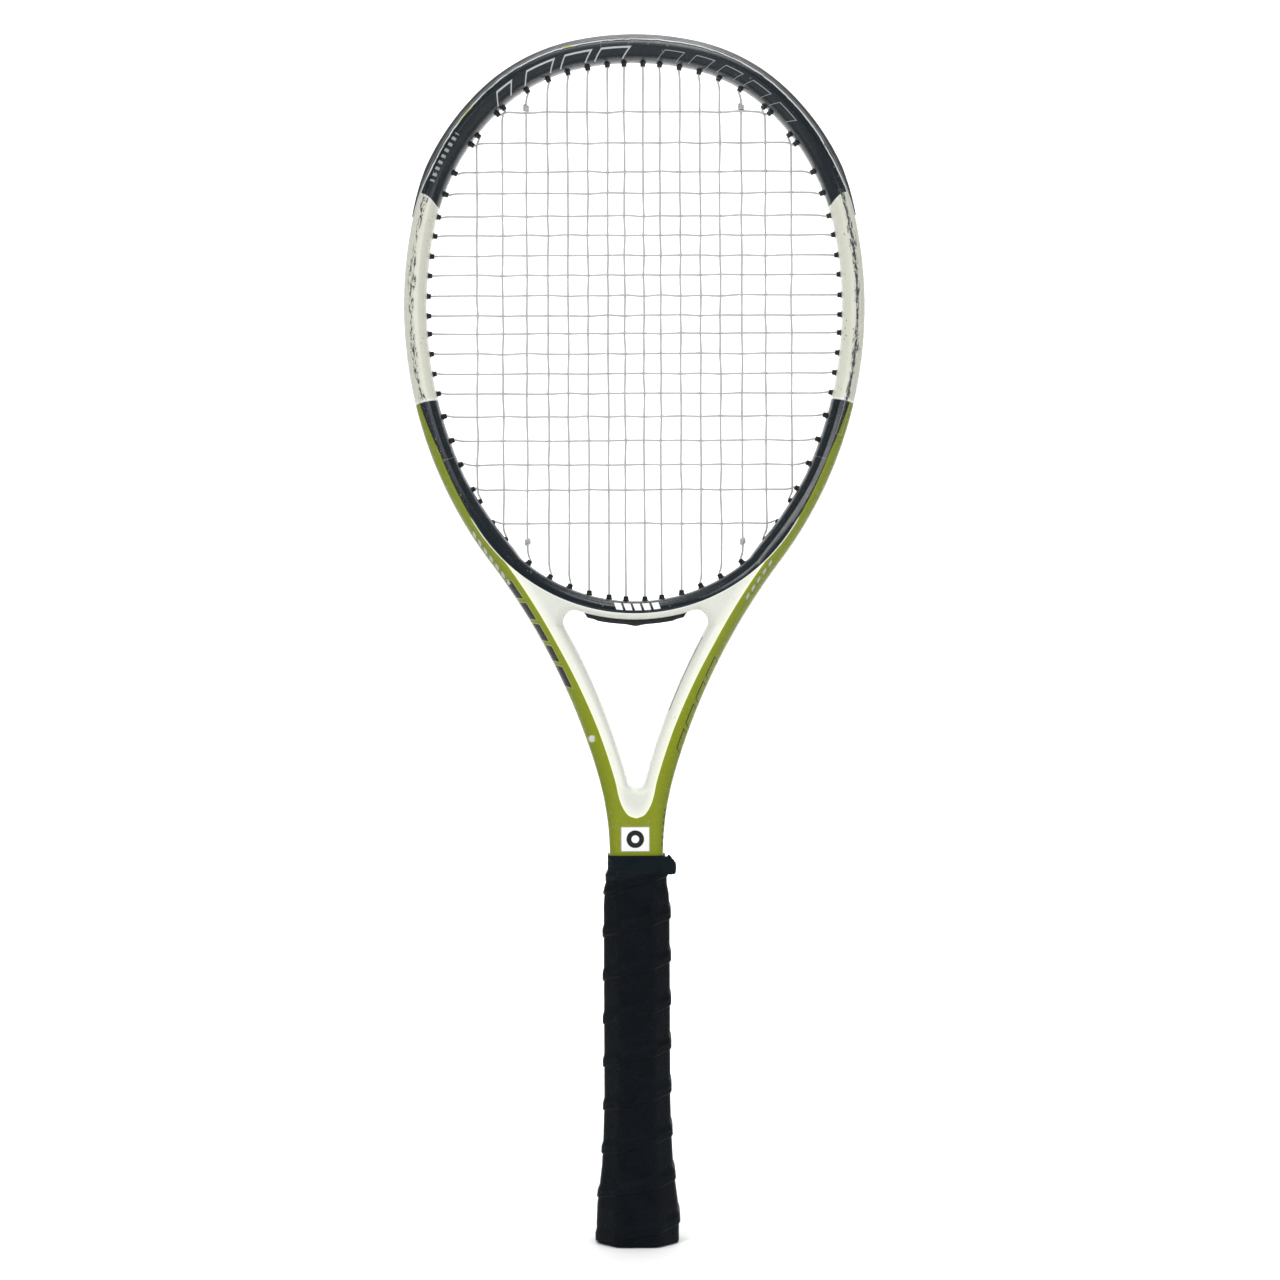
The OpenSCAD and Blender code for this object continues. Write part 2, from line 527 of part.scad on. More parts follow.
// Room in the foam for the two legs of the frame
module leg_channel() {
    for (side = [0, 1]) mirror([side, 0, 0]) translate([0, 0, leg_bottom_z - 1])
        linear_extrude(foam_top_z) offset(delta = leg_gap)
            polygon([for (p = leg_ring(beam_outline(q_end), 0)) [p.x, p.y]]);
}
module handle_foam() {
    inside = [for (z = [foam_bottom_z, 11, 21, cap_top_z]) handle_ring(z, -cap_wall - fit)];
    outside = [for (z = heights(cap_top_z + .1, foam_top_z)) handle_ring(z, 0)];
    color("burlywood") difference() {
        swept(concat(inside, outside));
        leg_channel();
        translate([0, 0, foam_bottom_z - 1]) cylinder(h = leg_bottom_z - foam_bottom_z - 1, d = 22);
        staples(.1);
        tack(.1);
    }
}

// ---- butt cap, trap door, staples -----------------------------------------------------------
door_d = 25;
door_t = 1.6;
door_gap = 0.15;
plug_d = 19;
plug_h = 6;
module butt_cap() {
    color("dimgray") difference() {
        swept([for (z = [0, 11, 21, cap_top_z]) handle_ring(z, 0)]);
        swept([for (z = [cap_floor_t, 11, 21, cap_top_z + .2]) handle_ring(z, -cap_wall)]);
        translate([0, 0, -1]) cylinder(h = 1 + door_t + door_gap, d = door_d + 2 * door_gap);
        translate([0, 0, -1]) cylinder(h = 10, d = plug_d + 2 * door_gap);
        staples(.1);
        tack(.1);
    }
}
// Round door that closes the butt cap: a disc with a hollow plug and a slot to pry it out
module trap_door() {
    color("gray") difference() {
        union() {
            cylinder(h = door_t, d = door_d);
            cylinder(h = plug_h, d = plug_d);
        }
        translate([0, 0, door_t]) cylinder(h = plug_h, d = plug_d - 3);
        translate([0, -door_d / 2 + 1, 0]) cube([6, 2, 1.2], center = true);
    }
}
staple_w = 9;
staple_wire = 0.9;
staple_leg = 6;
staple_z = 17;
// Two staples on the front and two on the back hold the cap to the foam
module staples(gap) {
    y = profile_at(staple_z)[2];
    for (side = [-1, 1], x = [-5.6, 5.6]) translate([x, side * (y - staple_leg / 2), staple_z]) {
        translate([0, side * (staple_leg / 2 - staple_wire / 2), 0])
            cube([staple_w + 2 * gap, staple_wire + 2 * gap, staple_wire + 2 * gap], center = true);
        for (s = [-1, 1]) translate([s * (staple_w - staple_wire) / 2, 0, 0])
            cube([staple_wire + 2 * gap, staple_leg + 2 * gap, staple_wire + 2 * gap], center = true);
    }
}
module butt_cap_staples() {
    color("silver") staples(0);
}

// ---- grips and tapes ------------------------------------------------------------------------
tack_z = 9;
tack_head_d = 6;
tack_head_t = .8;
tack_shank_d = 1.4;
tack_len = 7;
// Tack that holds the start of the base grip to the side of the butt cap
module tack(gap) {
    x = profile_at(tack_z)[1] + grip_t;
    translate([x, 0, tack_z]) rotate([0, -90, 0]) {
        translate([0, 0, -gap]) cylinder(h = tack_head_t + 2 * gap, d = tack_head_d + 2 * gap);
        cylinder(h = tack_len + gap, d = tack_shank_d + 2 * gap);
    }
}
module base_grip_tack() {
    color("silver") tack(0);
}
grip_bottom_z = 1.5;
grip_top_z = 203;
skive_z = 195;                          // the base grip thins out from here to its top
skive_t = .7;
function skived(z) = mix(grip_t, skive_t, ramp(z, skive_z, grip_top_z));
module base_grip() {
    color([.15, .15, .16]) difference() {
        sleeve([for (z = heights(grip_bottom_z, grip_top_z)) [z, fit, skived(z)]]);
        tack(.1);
    }
}
tape_t = 0.2;
tape_bottom_z = 199.5;
tape_top_z = 206;
// The base grip's own finishing tape, hidden under the overgrip
module base_grip_tape() {
    color("black") sleeve([for (z = [tape_bottom_z, 202, grip_top_z + .1, tape_top_z])
        let (over = z <= grip_top_z ? skived(z) : skive_t + fit)
        [z, over + fit, over + fit + tape_t]]);
}
overgrip_bottom_z = 0.6;
overgrip_top_z = 210;
// How far the base grip and its tape stand off the handle, under the overgrip
tape_from_z = 198;
function grip_outer(z) = z <= tape_from_z ? grip_t
    : mix(grip_t, skive_t + .2, ramp(z, tape_from_z, grip_top_z)) + tape_t;
module overgrip() {
    zs = concat(heights(overgrip_bottom_z, 190), [tape_from_z, 202, tape_top_z, overgrip_top_z]);
    color([.09, .1, .12]) sleeve([for (z = zs) let (off = grip_outer(z) + 2 * fit)
        [z, off, off + overgrip_t]]);
}
finish_t = 0.4;
finish_bottom_z = 206.5;
finish_top_z = 219.6;
// Finishing tape that closes the overgrip, half on the grip and half on the shaft
module finishing_tape() {
    color([.06, .07, .09]) {
        sleeve([for (z = [finish_bottom_z, overgrip_top_z, overgrip_top_z + .4, finish_top_z])
            let (over = z <= overgrip_top_z ? grip_outer(z) + 3 * fit + overgrip_t : 4 * fit)
            [z, over, over + finish_t]]);
    }
}

frame();
throat_bridge();
bumper_guard();
grommet_strip_left();
grommet_strip_right();
throat_grommet_strip();
main_string();
cross_string();
string_knots();
handle_foam();
butt_cap();
trap_door();
butt_cap_staples();
base_grip();
base_grip_tack();
base_grip_tape();
overgrip();
finishing_tape();
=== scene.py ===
import functools
import json
import math
import operator

import bpy
import numpy as np
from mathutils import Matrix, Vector

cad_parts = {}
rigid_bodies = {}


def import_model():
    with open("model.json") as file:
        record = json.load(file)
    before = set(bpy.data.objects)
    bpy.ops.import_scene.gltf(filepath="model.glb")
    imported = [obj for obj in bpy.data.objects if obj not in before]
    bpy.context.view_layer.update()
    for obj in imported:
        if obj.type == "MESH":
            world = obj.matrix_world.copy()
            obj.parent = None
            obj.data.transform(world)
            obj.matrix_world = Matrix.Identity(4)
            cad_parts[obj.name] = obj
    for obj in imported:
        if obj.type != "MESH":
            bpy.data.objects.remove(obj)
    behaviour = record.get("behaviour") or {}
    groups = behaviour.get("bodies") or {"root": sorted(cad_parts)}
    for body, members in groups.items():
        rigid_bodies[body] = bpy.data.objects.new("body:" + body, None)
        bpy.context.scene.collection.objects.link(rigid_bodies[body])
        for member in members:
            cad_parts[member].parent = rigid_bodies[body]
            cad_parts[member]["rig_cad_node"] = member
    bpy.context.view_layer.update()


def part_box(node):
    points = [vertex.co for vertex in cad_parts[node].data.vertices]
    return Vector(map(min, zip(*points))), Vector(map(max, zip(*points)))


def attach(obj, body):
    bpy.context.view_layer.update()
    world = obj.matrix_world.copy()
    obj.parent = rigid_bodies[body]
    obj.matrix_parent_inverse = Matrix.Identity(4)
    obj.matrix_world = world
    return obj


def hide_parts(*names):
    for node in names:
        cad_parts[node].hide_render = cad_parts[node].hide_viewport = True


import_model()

MM, PER_M = 0.001, 1000.0
BODY = "racket"


# ---- camera and lights ------------------------------------------------------------------------
SENSOR, CAM_TILT, CAM_ROLL = 36, 90, 0.22
CAM_X, CAM_Z, CAM_FAR, VIEW_W = 0.0025, 0.3415, 1.4, 0.729
cam_data = bpy.data.cameras.new("camera")
cam = bpy.data.objects.new("camera", cam_data)
bpy.context.scene.collection.objects.link(cam)
cam_data.sensor_width = SENSOR
cam_data.lens = SENSOR * CAM_FAR / VIEW_W
cam.location = (CAM_X, -CAM_FAR, CAM_Z)
cam.rotation_euler = (math.radians(CAM_TILT), math.radians(CAM_ROLL), 0)
bpy.context.scene.camera = cam


def light(name, kind, where, power):
    data = bpy.data.lights.new(name, kind)
    data.energy = power
    obj = bpy.data.objects.new(name, data)
    bpy.context.scene.collection.objects.link(obj)
    obj.location = where
    return obj


def area_light(name, where, target, size, power):
    obj = light(name, "AREA", where, power)
    obj.data.shape, obj.data.size, obj.data.size_y = "RECTANGLE", *size
    obj.rotation_mode = "QUATERNION"
    obj.rotation_quaternion = (Vector(target) - obj.location).to_track_quat("-Z", "Y")


MIDDLE = (0, 0, 0.36)
SKY_POWER, SKY_SPREAD = 0.8, 1.0
area_light("key", (-1.0, -1.5, 1.5), MIDDLE, (0.9, 0.9), 21)
area_light("fill", (1.5, -1.3, 0.8), MIDDLE, (0.8, 1.2), 10)
area_light("top", (0.1, 0.1, 1.9), MIDDLE, (1.0, 0.8), 12)
area_light("back", (0.0, 1.0, 1.7), (0, 2.4, 0.6), (1.8, 0.8), 42)
# an even soft light from straight above keeps the floor pale however far it reaches
light("sky", "SUN", (0, 0, 3), SKY_POWER).data.angle = SKY_SPREAD
bpy.context.scene.view_settings.view_transform = "Standard"


# ---- node-tree helper -------------------------------------------------------------------------
class Value:
    """A node's output. Sums, products and masks (& least, | most, ~ inverse) add nodes."""

    def __init__(self, net, socket):
        self.net, self.socket = net, socket

    def __add__(self, b): return self.net.math("ADD", self, b)
    def __sub__(self, b): return self.net.math("SUBTRACT", self, b)
    def __mul__(self, b): return self.net.math("MULTIPLY", self, b)
    def __truediv__(self, b): return self.net.math("DIVIDE", self, b)
    def __and__(self, b): return self.net.math("MINIMUM", self, b)
    def __or__(self, b): return self.net.math("MAXIMUM", self, b)
    def __invert__(self): return self.net.math("SUBTRACT", 1.0, self)
    def __abs__(self): return self.net.math("ABSOLUTE", self)
    def fract(self): return self.net.math("FRACT", self)
    def floor(self): return self.net.math("FLOOR", self)
    def hypot(self, b): return self.net.math("SQRT", self * self + b * b)

    def ramp(self, lo, hi, to_lo=0.0, to_hi=1.0):
        return self.net.wire(self.net.node("ShaderNodeMapRange", clamp=True), self, lo, hi, to_lo, to_hi)

    def over(self, edge, soft=0.12):
        """1 where this is above edge, 0 below, with an edge 2 soft wide."""
        return (self - edge).ramp(-soft, soft)

    def band(self, lo, hi, soft=0.12):
        return self.over(lo, soft) & ~self.over(hi, soft)


def union(masks):
    return functools.reduce(operator.or_, masks)


class Net:
    """Builds one procedural material; a value is a Value, a number or a colour."""

    def __init__(self, name):
        self.mat = bpy.data.materials.new(name)
        self.mat.use_nodes = True
        self.tree = self.mat.node_tree
        self.place = Value(self, self.node("ShaderNodeTexCoord").outputs["Object"])

    def node(self, kind, **props):
        n = self.tree.nodes.new(kind)
        for k, v in props.items():
            setattr(n, k, v)
        return n

    def put(self, socket, value):
        if isinstance(value, Value):
            self.tree.links.new(value.socket, socket)
        else:
            socket.default_value = (*value, 1) if socket.type == "RGBA" else value

    def wire(self, n, *values):
        """Fills a node's inputs in order and returns its output."""
        for socket, value in zip([s for s in n.inputs if s.enabled], values):
            self.put(socket, value)
        return Value(self, next(s for s in n.outputs if s.enabled))

    def math(self, op, *values): return self.wire(self.node("ShaderNodeMath", operation=op), *values)
    def mix(self, fac, a, b): return self.wire(self.node("ShaderNodeMix", data_type="RGBA"), fac, a, b)
    def vector(self, *xyz): return self.wire(self.node("ShaderNodeCombineXYZ"), *xyz)

    def attr(self, name):
        return Value(self, self.node("ShaderNodeAttribute", attribute_name=name).outputs["Fac"])

    def xyz(self):
        n = self.node("ShaderNodeSeparateXYZ")
        self.put(n.inputs[0], self.place)
        return [Value(self, s) for s in n.outputs]

    def texture(self, kind, at, output, **inputs):
        n = self.node(kind)
        self.put(n.inputs["Vector"], at)
        for k, v in inputs.items():
            n.inputs[k].default_value = v
        return Value(self, n.outputs[output])

    def noise(self, scale, detail, rough, at=None):
        return self.texture("ShaderNodeTexNoise", at or self.place, "Fac",
                            Scale=scale, Detail=detail, Roughness=rough)

    def cells(self, scale, stretch):
        at = self.texture("ShaderNodeMapping", self.place, 0, Scale=stretch)
        return self.texture("ShaderNodeTexVoronoi", at, "Distance", Scale=scale)

    def bump(self, height, distance, strength):
        n = self.node("ShaderNodeBump")
        self.put(n.inputs["Height"], height)
        n.inputs["Distance"].default_value = distance
        n.inputs["Strength"].default_value = strength
        return Value(self, n.outputs[0])

    def done(self, color, rough, normal=None, **fixed):
        b = self.tree.nodes["Principled BSDF"].inputs
        self.put(b["Base Color"], color)
        self.put(b["Roughness"], rough)
        if normal:
            self.put(b["Normal"], normal)
        for k, v in fixed.items():
            b[k.replace("_", " ")].default_value = v
        return self.mat


# ---- outline of the frame, as in the CAD --------------------------------------------------------
TOP_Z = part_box("frame")[1][2] / MM
BEAM_W, ARM_W, BEAM_D, LEG_D, GROOVE = 12.8, 15.3, 25.0, 21.0, 3.0
BRIDGE_T, STRING_D, BARREL_OUT, STRIP_T = 10.5, 1.3, 2.6, 0.9
SIDE_A, NECK_A = 37.0, 16.5
Q_TURN, Q_END = 90 + SIDE_A, 90 + 2 * SIDE_A


def direction(a):
    return np.array([math.cos(math.radians(a)), math.sin(math.radians(a))])


def angle_of(v):
    return math.degrees(math.atan2(v[1], v[0]))


ARCS = [[163, 90, 77.5, 1], [106.5, 77.5, 46, 1], [140.5, 46, 11.5, 1], [241.5, 11.5, -SIDE_A, 1],
        [377, -SIDE_A, -NECK_A, -1]]
CENTRES, _p = [], np.array([0.0, TOP_Z])
for _r, _a, _b, _bend in ARCS:
    CENTRES.append(_p - _bend * _r * direction(_a))
    _p = _p + _bend * _r * (direction(_b) - direction(_a))
NECK_R = (_p[0] - ARM_W) / (1 - math.cos(math.radians(NECK_A)))
ARCS.append([NECK_R, -NECK_A, 0, -1])
CENTRES.append(_p + NECK_R * direction(-NECK_A))
SIDE_C, SIDE_R, ARM_C, ARM_R = CENTRES[3], ARCS[3][0], CENTRES[4], ARCS[4][0]
NECK_C = CENTRES[5]


def at(q, u):
    """The point (x, z) at place q on the right side, u outward from the outer edge, in mm.
    q is 0 at the top of the head, Q_TURN where the arm starts and Q_END at the shaft."""
    if q <= Q_TURN:
        a = 90 - q
        i = next(k for k in range(4) if a >= ARCS[k][2] - 1e-6)
    else:
        a = q - Q_END
        i = 4 if a <= -NECK_A else 5
    return CENTRES[i] + (ARCS[i][3] * ARCS[i][0] + u) * direction(a)


def lerp(a, b, t):
    return a + (b - a) * t


def ramp(v, lo, hi):
    return min(1.0, max(0.0, (v - lo) / (hi - lo)))


def ease(v, lo, hi):
    t = ramp(v, lo, hi)
    return t * t * (3 - 2 * t)


def table(v, pairs):
    return float(np.interp(v, [p[0] for p in pairs], [p[1] for p in pairs]))


def width_at(q):
    return table(q, [(Q_TURN - 12, BEAM_W), (Q_TURN, ARM_W), (Q_END, ARM_W)])


def half_depth_at(q):
    return lerp(BEAM_D, LEG_D, ramp(q, Q_TURN + 8, Q_END)) / 2


def groove_at(q):
    return GROOVE * (1 - ramp(q, Q_TURN + 12, Q_TURN + 17))


BRIDGE_A = -32.0
BRIDGE_R = SIDE_R - BEAM_W + SIDE_C[0] / math.cos(math.radians(BRIDGE_A))
BRIDGE_Z = SIDE_C[1] + (SIDE_R - BEAM_W - BRIDGE_R) * math.sin(math.radians(BRIDGE_A))
BRIDGE_C = np.array([0.0, BRIDGE_Z])
LOWER_R = BRIDGE_R + BRIDGE_T


def from_bed(x, z):
    """Distance of a point from the edge of the string bed's opening."""
    for (r, a0, a1, _), c in zip(ARCS[:4], CENTRES[:4]):
        d = np.array([abs(x), z]) - c
        a = angle_of(d)
        if a1 - 1e-6 <= a <= a0 + 1e-6 and (a > BRIDGE_A or r != SIDE_R):
            best = float(np.hypot(*d)) - (r - BEAM_W)
            break
    else:
        best = math.hypot(x, z - BRIDGE_Z) - BRIDGE_R
    return best


# [q, mm inward] of the ridge, which is also the line between the two paints of the arm
RIDGE = [(0, 6.0), (112, 6.0), (120, 6.7), (128, 7.6), (136, 7.6), (140, 8.3), (144, 9.0), (150.5, 9.3)]


# ---- meshes -----------------------------------------------------------------------------------
def catmull(points, per):
    """Smooth polyline through points, per samples in each span."""
    p = np.asarray(points, float)
    p = np.vstack([2 * p[0] - p[1], p, 2 * p[-1] - p[-2]])
    out = []
    for i in range(1, len(p) - 2):
        for k in range(per):
            t = k / per
            a, b, c, d = p[i - 1], p[i], p[i + 1], p[i + 2]
            out.append(0.5 * (2 * b + (c - a) * t + (2 * a - 5 * b + 4 * c - d) * t * t
                              + (3 * b - a - 3 * c + d) * t ** 3))
    return out + [p[-2]]


def build(name, verts, faces, attrs=None, material=None, smooth_angle=40.0, node=(), slot=None):
    """One piece in mm from arrays, on the racket's body."""
    mesh = bpy.data.meshes.new(name)
    v = np.asarray(verts, float) * MM
    mesh.from_pydata(v.tolist(), [], [list(map(int, f)) for f in faces])
    mesh.validate()
    for k, values in (attrs or {}).items():
        a = mesh.attributes.new(k, "FLOAT", "POINT")
        a.data.foreach_set("value", np.asarray(values, np.float32))
    mesh.shade_smooth()
    mesh.set_sharp_from_angle(angle=math.radians(smooth_angle))
    obj = bpy.data.objects.new(name, mesh)
    bpy.context.scene.collection.objects.link(obj)
    if material:
        mesh.materials.append(material)
    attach(obj, BODY)
    if node:
        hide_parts(*([node] if isinstance(node, str) else node))
    return obj


class Parts:
    """Gathers several closed shells into one mesh."""

    def __init__(self):
        self.verts, self.faces, self.attrs = [], [], {}

    def shell(self, verts, faces, **attrs):
        base = sum(len(v) for v in self.verts)
        verts = np.asarray(verts, float)
        vol = 0.0
        for f in faces:
            for k in range(1, len(f) - 1):
                vol += float(np.dot(verts[f[0]], np.cross(verts[f[k]], verts[f[k + 1]])))
        if vol < 0:
            faces = [f[::-1] for f in faces]
        self.verts.append(verts)
        self.faces += [[i + base for i in f] for f in faces]
        for k in set(self.attrs) | set(attrs):
            old = self.attrs.get(k, [np.zeros(base)])
            self.attrs[k] = old + [np.broadcast_to(np.asarray(attrs.get(k, 0.0), float), (len(verts),))]
        return self

    def build(self, name, **kw):
        attrs = {k: np.concatenate(v) for k, v in self.attrs.items()}
        return build(name, np.vstack(self.verts), self.faces, attrs, **kw)


def loft(rings, caps=True, loop=False):
    """Faces through rings of equal length; returns vertices and faces."""
    n, m = len(rings), len(rings[0])
    verts = np.vstack([np.asarray(r, float) for r in rings])
    faces = []
    for k in range(n if loop else n - 1):
        a, b = k * m, ((k + 1) % n) * m
        for j in range(m):
            i = (j + 1) % m
            faces.append([a + j, a + i, b + i, b + j])
    if caps and not loop:
        faces.append(list(range(m))[::-1])
        faces.append([(n - 1) * m + j for j in range(m)])
    return verts, faces


def tube(path, radius, sides=10):
    """A round bar along path, its rings carried along without twist."""
    p = np.asarray(path, float)
    keep = [0] + [i for i in range(1, len(p)) if np.linalg.norm(p[i] - p[i - 1]) > 1e-4]
    p = p[keep]
    t = np.gradient(p, axis=0)
    t /= np.linalg.norm(t, axis=1)[:, None]
    n = np.cross(t[0], [0, 1, 0])
    if np.linalg.norm(n) < 0.1:
        n = np.cross(t[0], [1, 0, 0])
    rings = []
    for i in range(len(p)):
        n = n - t[i] * np.dot(n, t[i])
        n /= np.linalg.norm(n)
        b = np.cross(t[i], n)
        a = np.arange(sides) * 2 * math.pi / sides
        rings.append(p[i] + radius * (np.cos(a)[:, None] * n + np.sin(a)[:, None] * b))
    return loft(rings)


# ---- frame ------------------------------------------------------------------------------------
# Half profiles from the groove lip to the ridge, and from the inner edge to the ridge, as
# [mm inward, share of the half depth]; the last point is on the ridge.
HEAD_OUT = [[0, .29], [.25, .38], [1.0, .62], [3.0, .85], [4.6, .945]]
LEG_OUT = [[0, .29], [0, .5], [.25, .74], [1.0, .91], [3.0, .98]]
HEAD_IN = [[0, .34], [1.15, .64], [3.6, .87], [5.2, .945]]
LEG_IN = [[0, .34], [.8, .64], [2.4, .86], [5.0, .965]]
TIP_Z = 257.5
TIP_H = TIP_Z - NECK_C[1]
TIP_R = TIP_H * TIP_H / (2 * (NECK_R + ARM_W - TIP_H))
TIP_C = np.array([0.0, TIP_Z + TIP_R])
FORK_A = angle_of((NECK_C[0], NECK_C[1] - TIP_C[1]))
FORK_Q = Q_END + FORK_A
TIP_Q, SHAFT_Q = 162.5, 164.0
PATCH = [(9.4, 253.0), (7.3, 247.2), (4.2, 242.8), (0.0, 241.0)]
BOTTOM_Z = 205.0
RING_STEP = 1.6


def section(outer, ridge, inner, q, groove, leg):
    """Half a ring from the groove over the ridge to the middle of the inner edge. Each row is the
    point in plan, the height, the way inward and the distance outward from the ridge."""
    outer, ridge, inner = (np.asarray(v, float) for v in (outer, ridge, inner))
    d = half_depth_at(q)
    out_len, in_len = np.linalg.norm(ridge - outer), np.linalg.norm(ridge - inner)
    inwards, away = (ridge - outer) / max(out_len, 1e-6), (inner - ridge) / max(in_len, 1e-6)

    def profile(head, arm, usual, length):
        scale = min(1.0, length / usual)
        points = [lerp(np.array(a), np.array(b), leg) for a, b in zip(head, arm)]
        return catmull([[p[0] * scale, p[1]] for p in points] + [[length, 1.0]], 4)

    outside = [(groove, 0.0), (groove, .235), (groove * .55, .275)] + profile(HEAD_OUT, LEG_OUT, 6.0, out_len)
    rows = [(outer + inwards * m, h * d, m, out_len - m) for m, h in outside]
    for m, h in profile(HEAD_IN, LEG_IN, 6.8, in_len)[-2::-1]:
        rows.append((ridge + away * (in_len - m), h * d, out_len + in_len - m, m - in_len))
    bulge = min(0.35, in_len * .05)
    for share, h in ((.8, .18 * d), (1, 0.0)):
        rows.append((inner + away * bulge * share, h, out_len + in_len, -in_len))
    return rows


def frame_rows():
    """Rings down the right side, each with its place q, from the top of the head to the tape."""
    rings, qs, q = [], [], 0.0
    while q < FORK_Q - 0.05:
        qs.append(q)
        i = 4 if q > Q_TURN else next((k for k in range(4) if 90 - q > ARCS[k][2]), 3)
        if q > Q_END - NECK_A:
            i = 5
        q += math.degrees(RING_STEP / ARCS[i][0])
    for q in qs + [FORK_Q]:
        w, r = width_at(q), table(q, RIDGE)
        leg = ease(q, Q_TURN + 8, FORK_Q)
        rings.append((q, section(at(q, 0), at(q, -r), at(q, -w), q, groove_at(q), leg)))
    start = at(FORK_Q, -table(FORK_Q, RIDGE))
    curve = np.array(catmull([start] + [np.array(p) for p in PATCH], 8))
    for t, ridge in list(zip(np.linspace(0, 1, len(curve)), curve))[1:]:
        q = lerp(FORK_Q, TIP_Q, t)
        inner = TIP_C + TIP_R * direction(lerp(FORK_A, -90.0, t))
        rings.append((q, section(at(q, 0), ridge, inner, q, 0.0, 1.0)))
    top = at(TIP_Q, 0)[1]
    for t in (.01, *np.linspace(.08, 1, 12)):
        z, outer_z = lerp(PATCH[-1][1], BOTTOM_Z, t), lerp(top, BOTTOM_Z, t)
        below = math.degrees(math.asin(max(0.0, (outer_z - NECK_C[1])) / NECK_R))
        outer_x = at(min(Q_END, Q_END - below), 0)[0]
        q = TIP_Q + (SHAFT_Q - TIP_Q) * min(1.0, t * 2)
        rows = section((outer_x, outer_z), (0, z), (0, z), q, 0.0, 1.0)
        rings.append((q, [(p, y, m, max(r, 4.0)) for p, y, m, r in rows]))
    return rings


def ring_arrays(q, rows, side):
    """Front and back of one ring as vertices with their attributes."""
    front = [(side * p[0], -y, p[1], q, m, r) for p, y, m, r in rows]
    back = [(side * p[0], y, p[1], q, m, r) for p, y, m, r in rows[-2:0:-1]]
    return np.array(front + back)


def sweep_frame():
    half = frame_rows()
    rings = [ring_arrays(q, rows, 1) for q, rows in half[::-1]]
    rings += [ring_arrays(q, rows, -1) for q, rows in half[1:]]
    data = np.vstack(rings)
    verts, faces = loft([r[:, :3] for r in rings])
    return Parts().shell(verts, faces, place=data[:, 3], inward=data[:, 4], ridge=data[:, 5],
                         bed=[from_bed(v[0], v[2]) for v in verts], run=run_of(data[:, 3]))


def lengths(points):
    """The way along a polyline at each of its points."""
    return np.concatenate([[0], np.cumsum(np.linalg.norm(np.diff(points, axis=0), axis=1))])


RUN_Q = np.linspace(0, Q_END, 1600)
RUN_MM = lengths([at(q, 0) for q in RUN_Q])


def run_of(q):
    """Distance along the outer edge from the top of the head to place q, in mm."""
    return np.interp(q, RUN_Q, RUN_MM)


BRIDGE_PLACE = 131.0        # the place that the paint takes the whole bridge to be at


# ---- bridge -----------------------------------------------------------------------------------
def meeting(c, r, d, s):
    """The lower left of the two points at distance r from c and s from d."""
    m = d - c
    length = np.hypot(*m)
    x = (length ** 2 + r * r - s * s) / (2 * length)
    y = math.sqrt(r * r - x * x)
    e = m / length
    return c + x * e + y * np.array([e[1], -e[0]])


CORNER_R, PATCH_END_Q = 6.5, 117.0
CORNER_C = meeting(BRIDGE_C, LOWER_R + CORNER_R, ARM_C, ARM_R + ARM_W + CORNER_R)


def bridge_curves():
    """Row by row from the middle of the right half: the bed-side point, the lower point, the point
    that bends the row and 1 on the opening's rim. Then the rim, with 0 on the bridge and 1 on the arm."""
    a_bridge, a_arm = angle_of(BRIDGE_C - CORNER_C) % 360, angle_of(ARM_C - CORNER_C)
    start_a = angle_of(CORNER_C - BRIDGE_C)
    q_arm = Q_END + angle_of(ARM_C - CORNER_C - CORNER_R * direction(a_arm))
    a_arm = a_arm % 360 - (360 if a_arm % 360 > a_bridge else 0)
    rows = [(BRIDGE_C + LOWER_R * direction(a), 1.0, 180.0) for a in np.linspace(-90, start_a, 26)]
    rows += [(CORNER_C + CORNER_R * direction(a), 1.0, a + 60)
             for a in np.linspace(a_bridge, a_arm, 16)[1:]]
    for t in np.linspace(0, 1, 9)[1:]:
        q = lerp(q_arm, q_arm - 1.0, t)
        rows.append((at(q, lerp(-ARM_W, -table(q, RIDGE), t)), 1 - t, lerp(a_arm + 60, 95, t)))
    rows += [(at(q, -table(q, RIDGE)), 0.0, 180.0) for q in np.linspace(q_arm - 1.0, PATCH_END_Q, 34)[1:]]
    low, edge, arrive = zip(*rows)
    rim = [(BRIDGE_C + LOWER_R * direction(a), 0.0) for a in np.linspace(-100, start_a, 90)]
    rim += [(CORNER_C + CORNER_R * direction(a), ramp(-a, -a_bridge, -a_arm))
            for a in np.linspace(a_bridge, a_arm, 30)[1:]]
    rim += [(at(q, -ARM_W), 1.0) for q in np.linspace(q_arm, q_arm + 12, 80)[1:]]
    # the bed-side points are spread so that the rows fan out evenly
    bed_line = np.array(
        [BRIDGE_C + BRIDGE_R * direction(a) for a in np.linspace(-90, BRIDGE_A, 160)]
        + [SIDE_C + (SIDE_R - BEAM_W) * direction(a)
           for a in np.linspace(BRIDGE_A, 90 - PATCH_END_Q, 60)[1:]])
    s = lengths(bed_line)
    mid_s = math.radians(start_a + 90) * BRIDGE_R
    along = np.interp(range(len(low)), [0, 25, 40, 48, len(low) - 1],
                      [0, mid_s, mid_s + 9, mid_s + 16, s[-1]])
    top = np.stack([np.interp(along, s, bed_line[:, 0]), np.interp(along, s, bed_line[:, 1])], 1)
    # each row bends so that it arrives from inside the material
    control = [b + 0.45 * np.linalg.norm(p - b) * direction(min(angle_of(p - b), a))
               for p, b, a in zip(top, low, arrive)]
    return top, low, control, edge, np.array([p for p, _ in rim]), [k for _, k in rim]


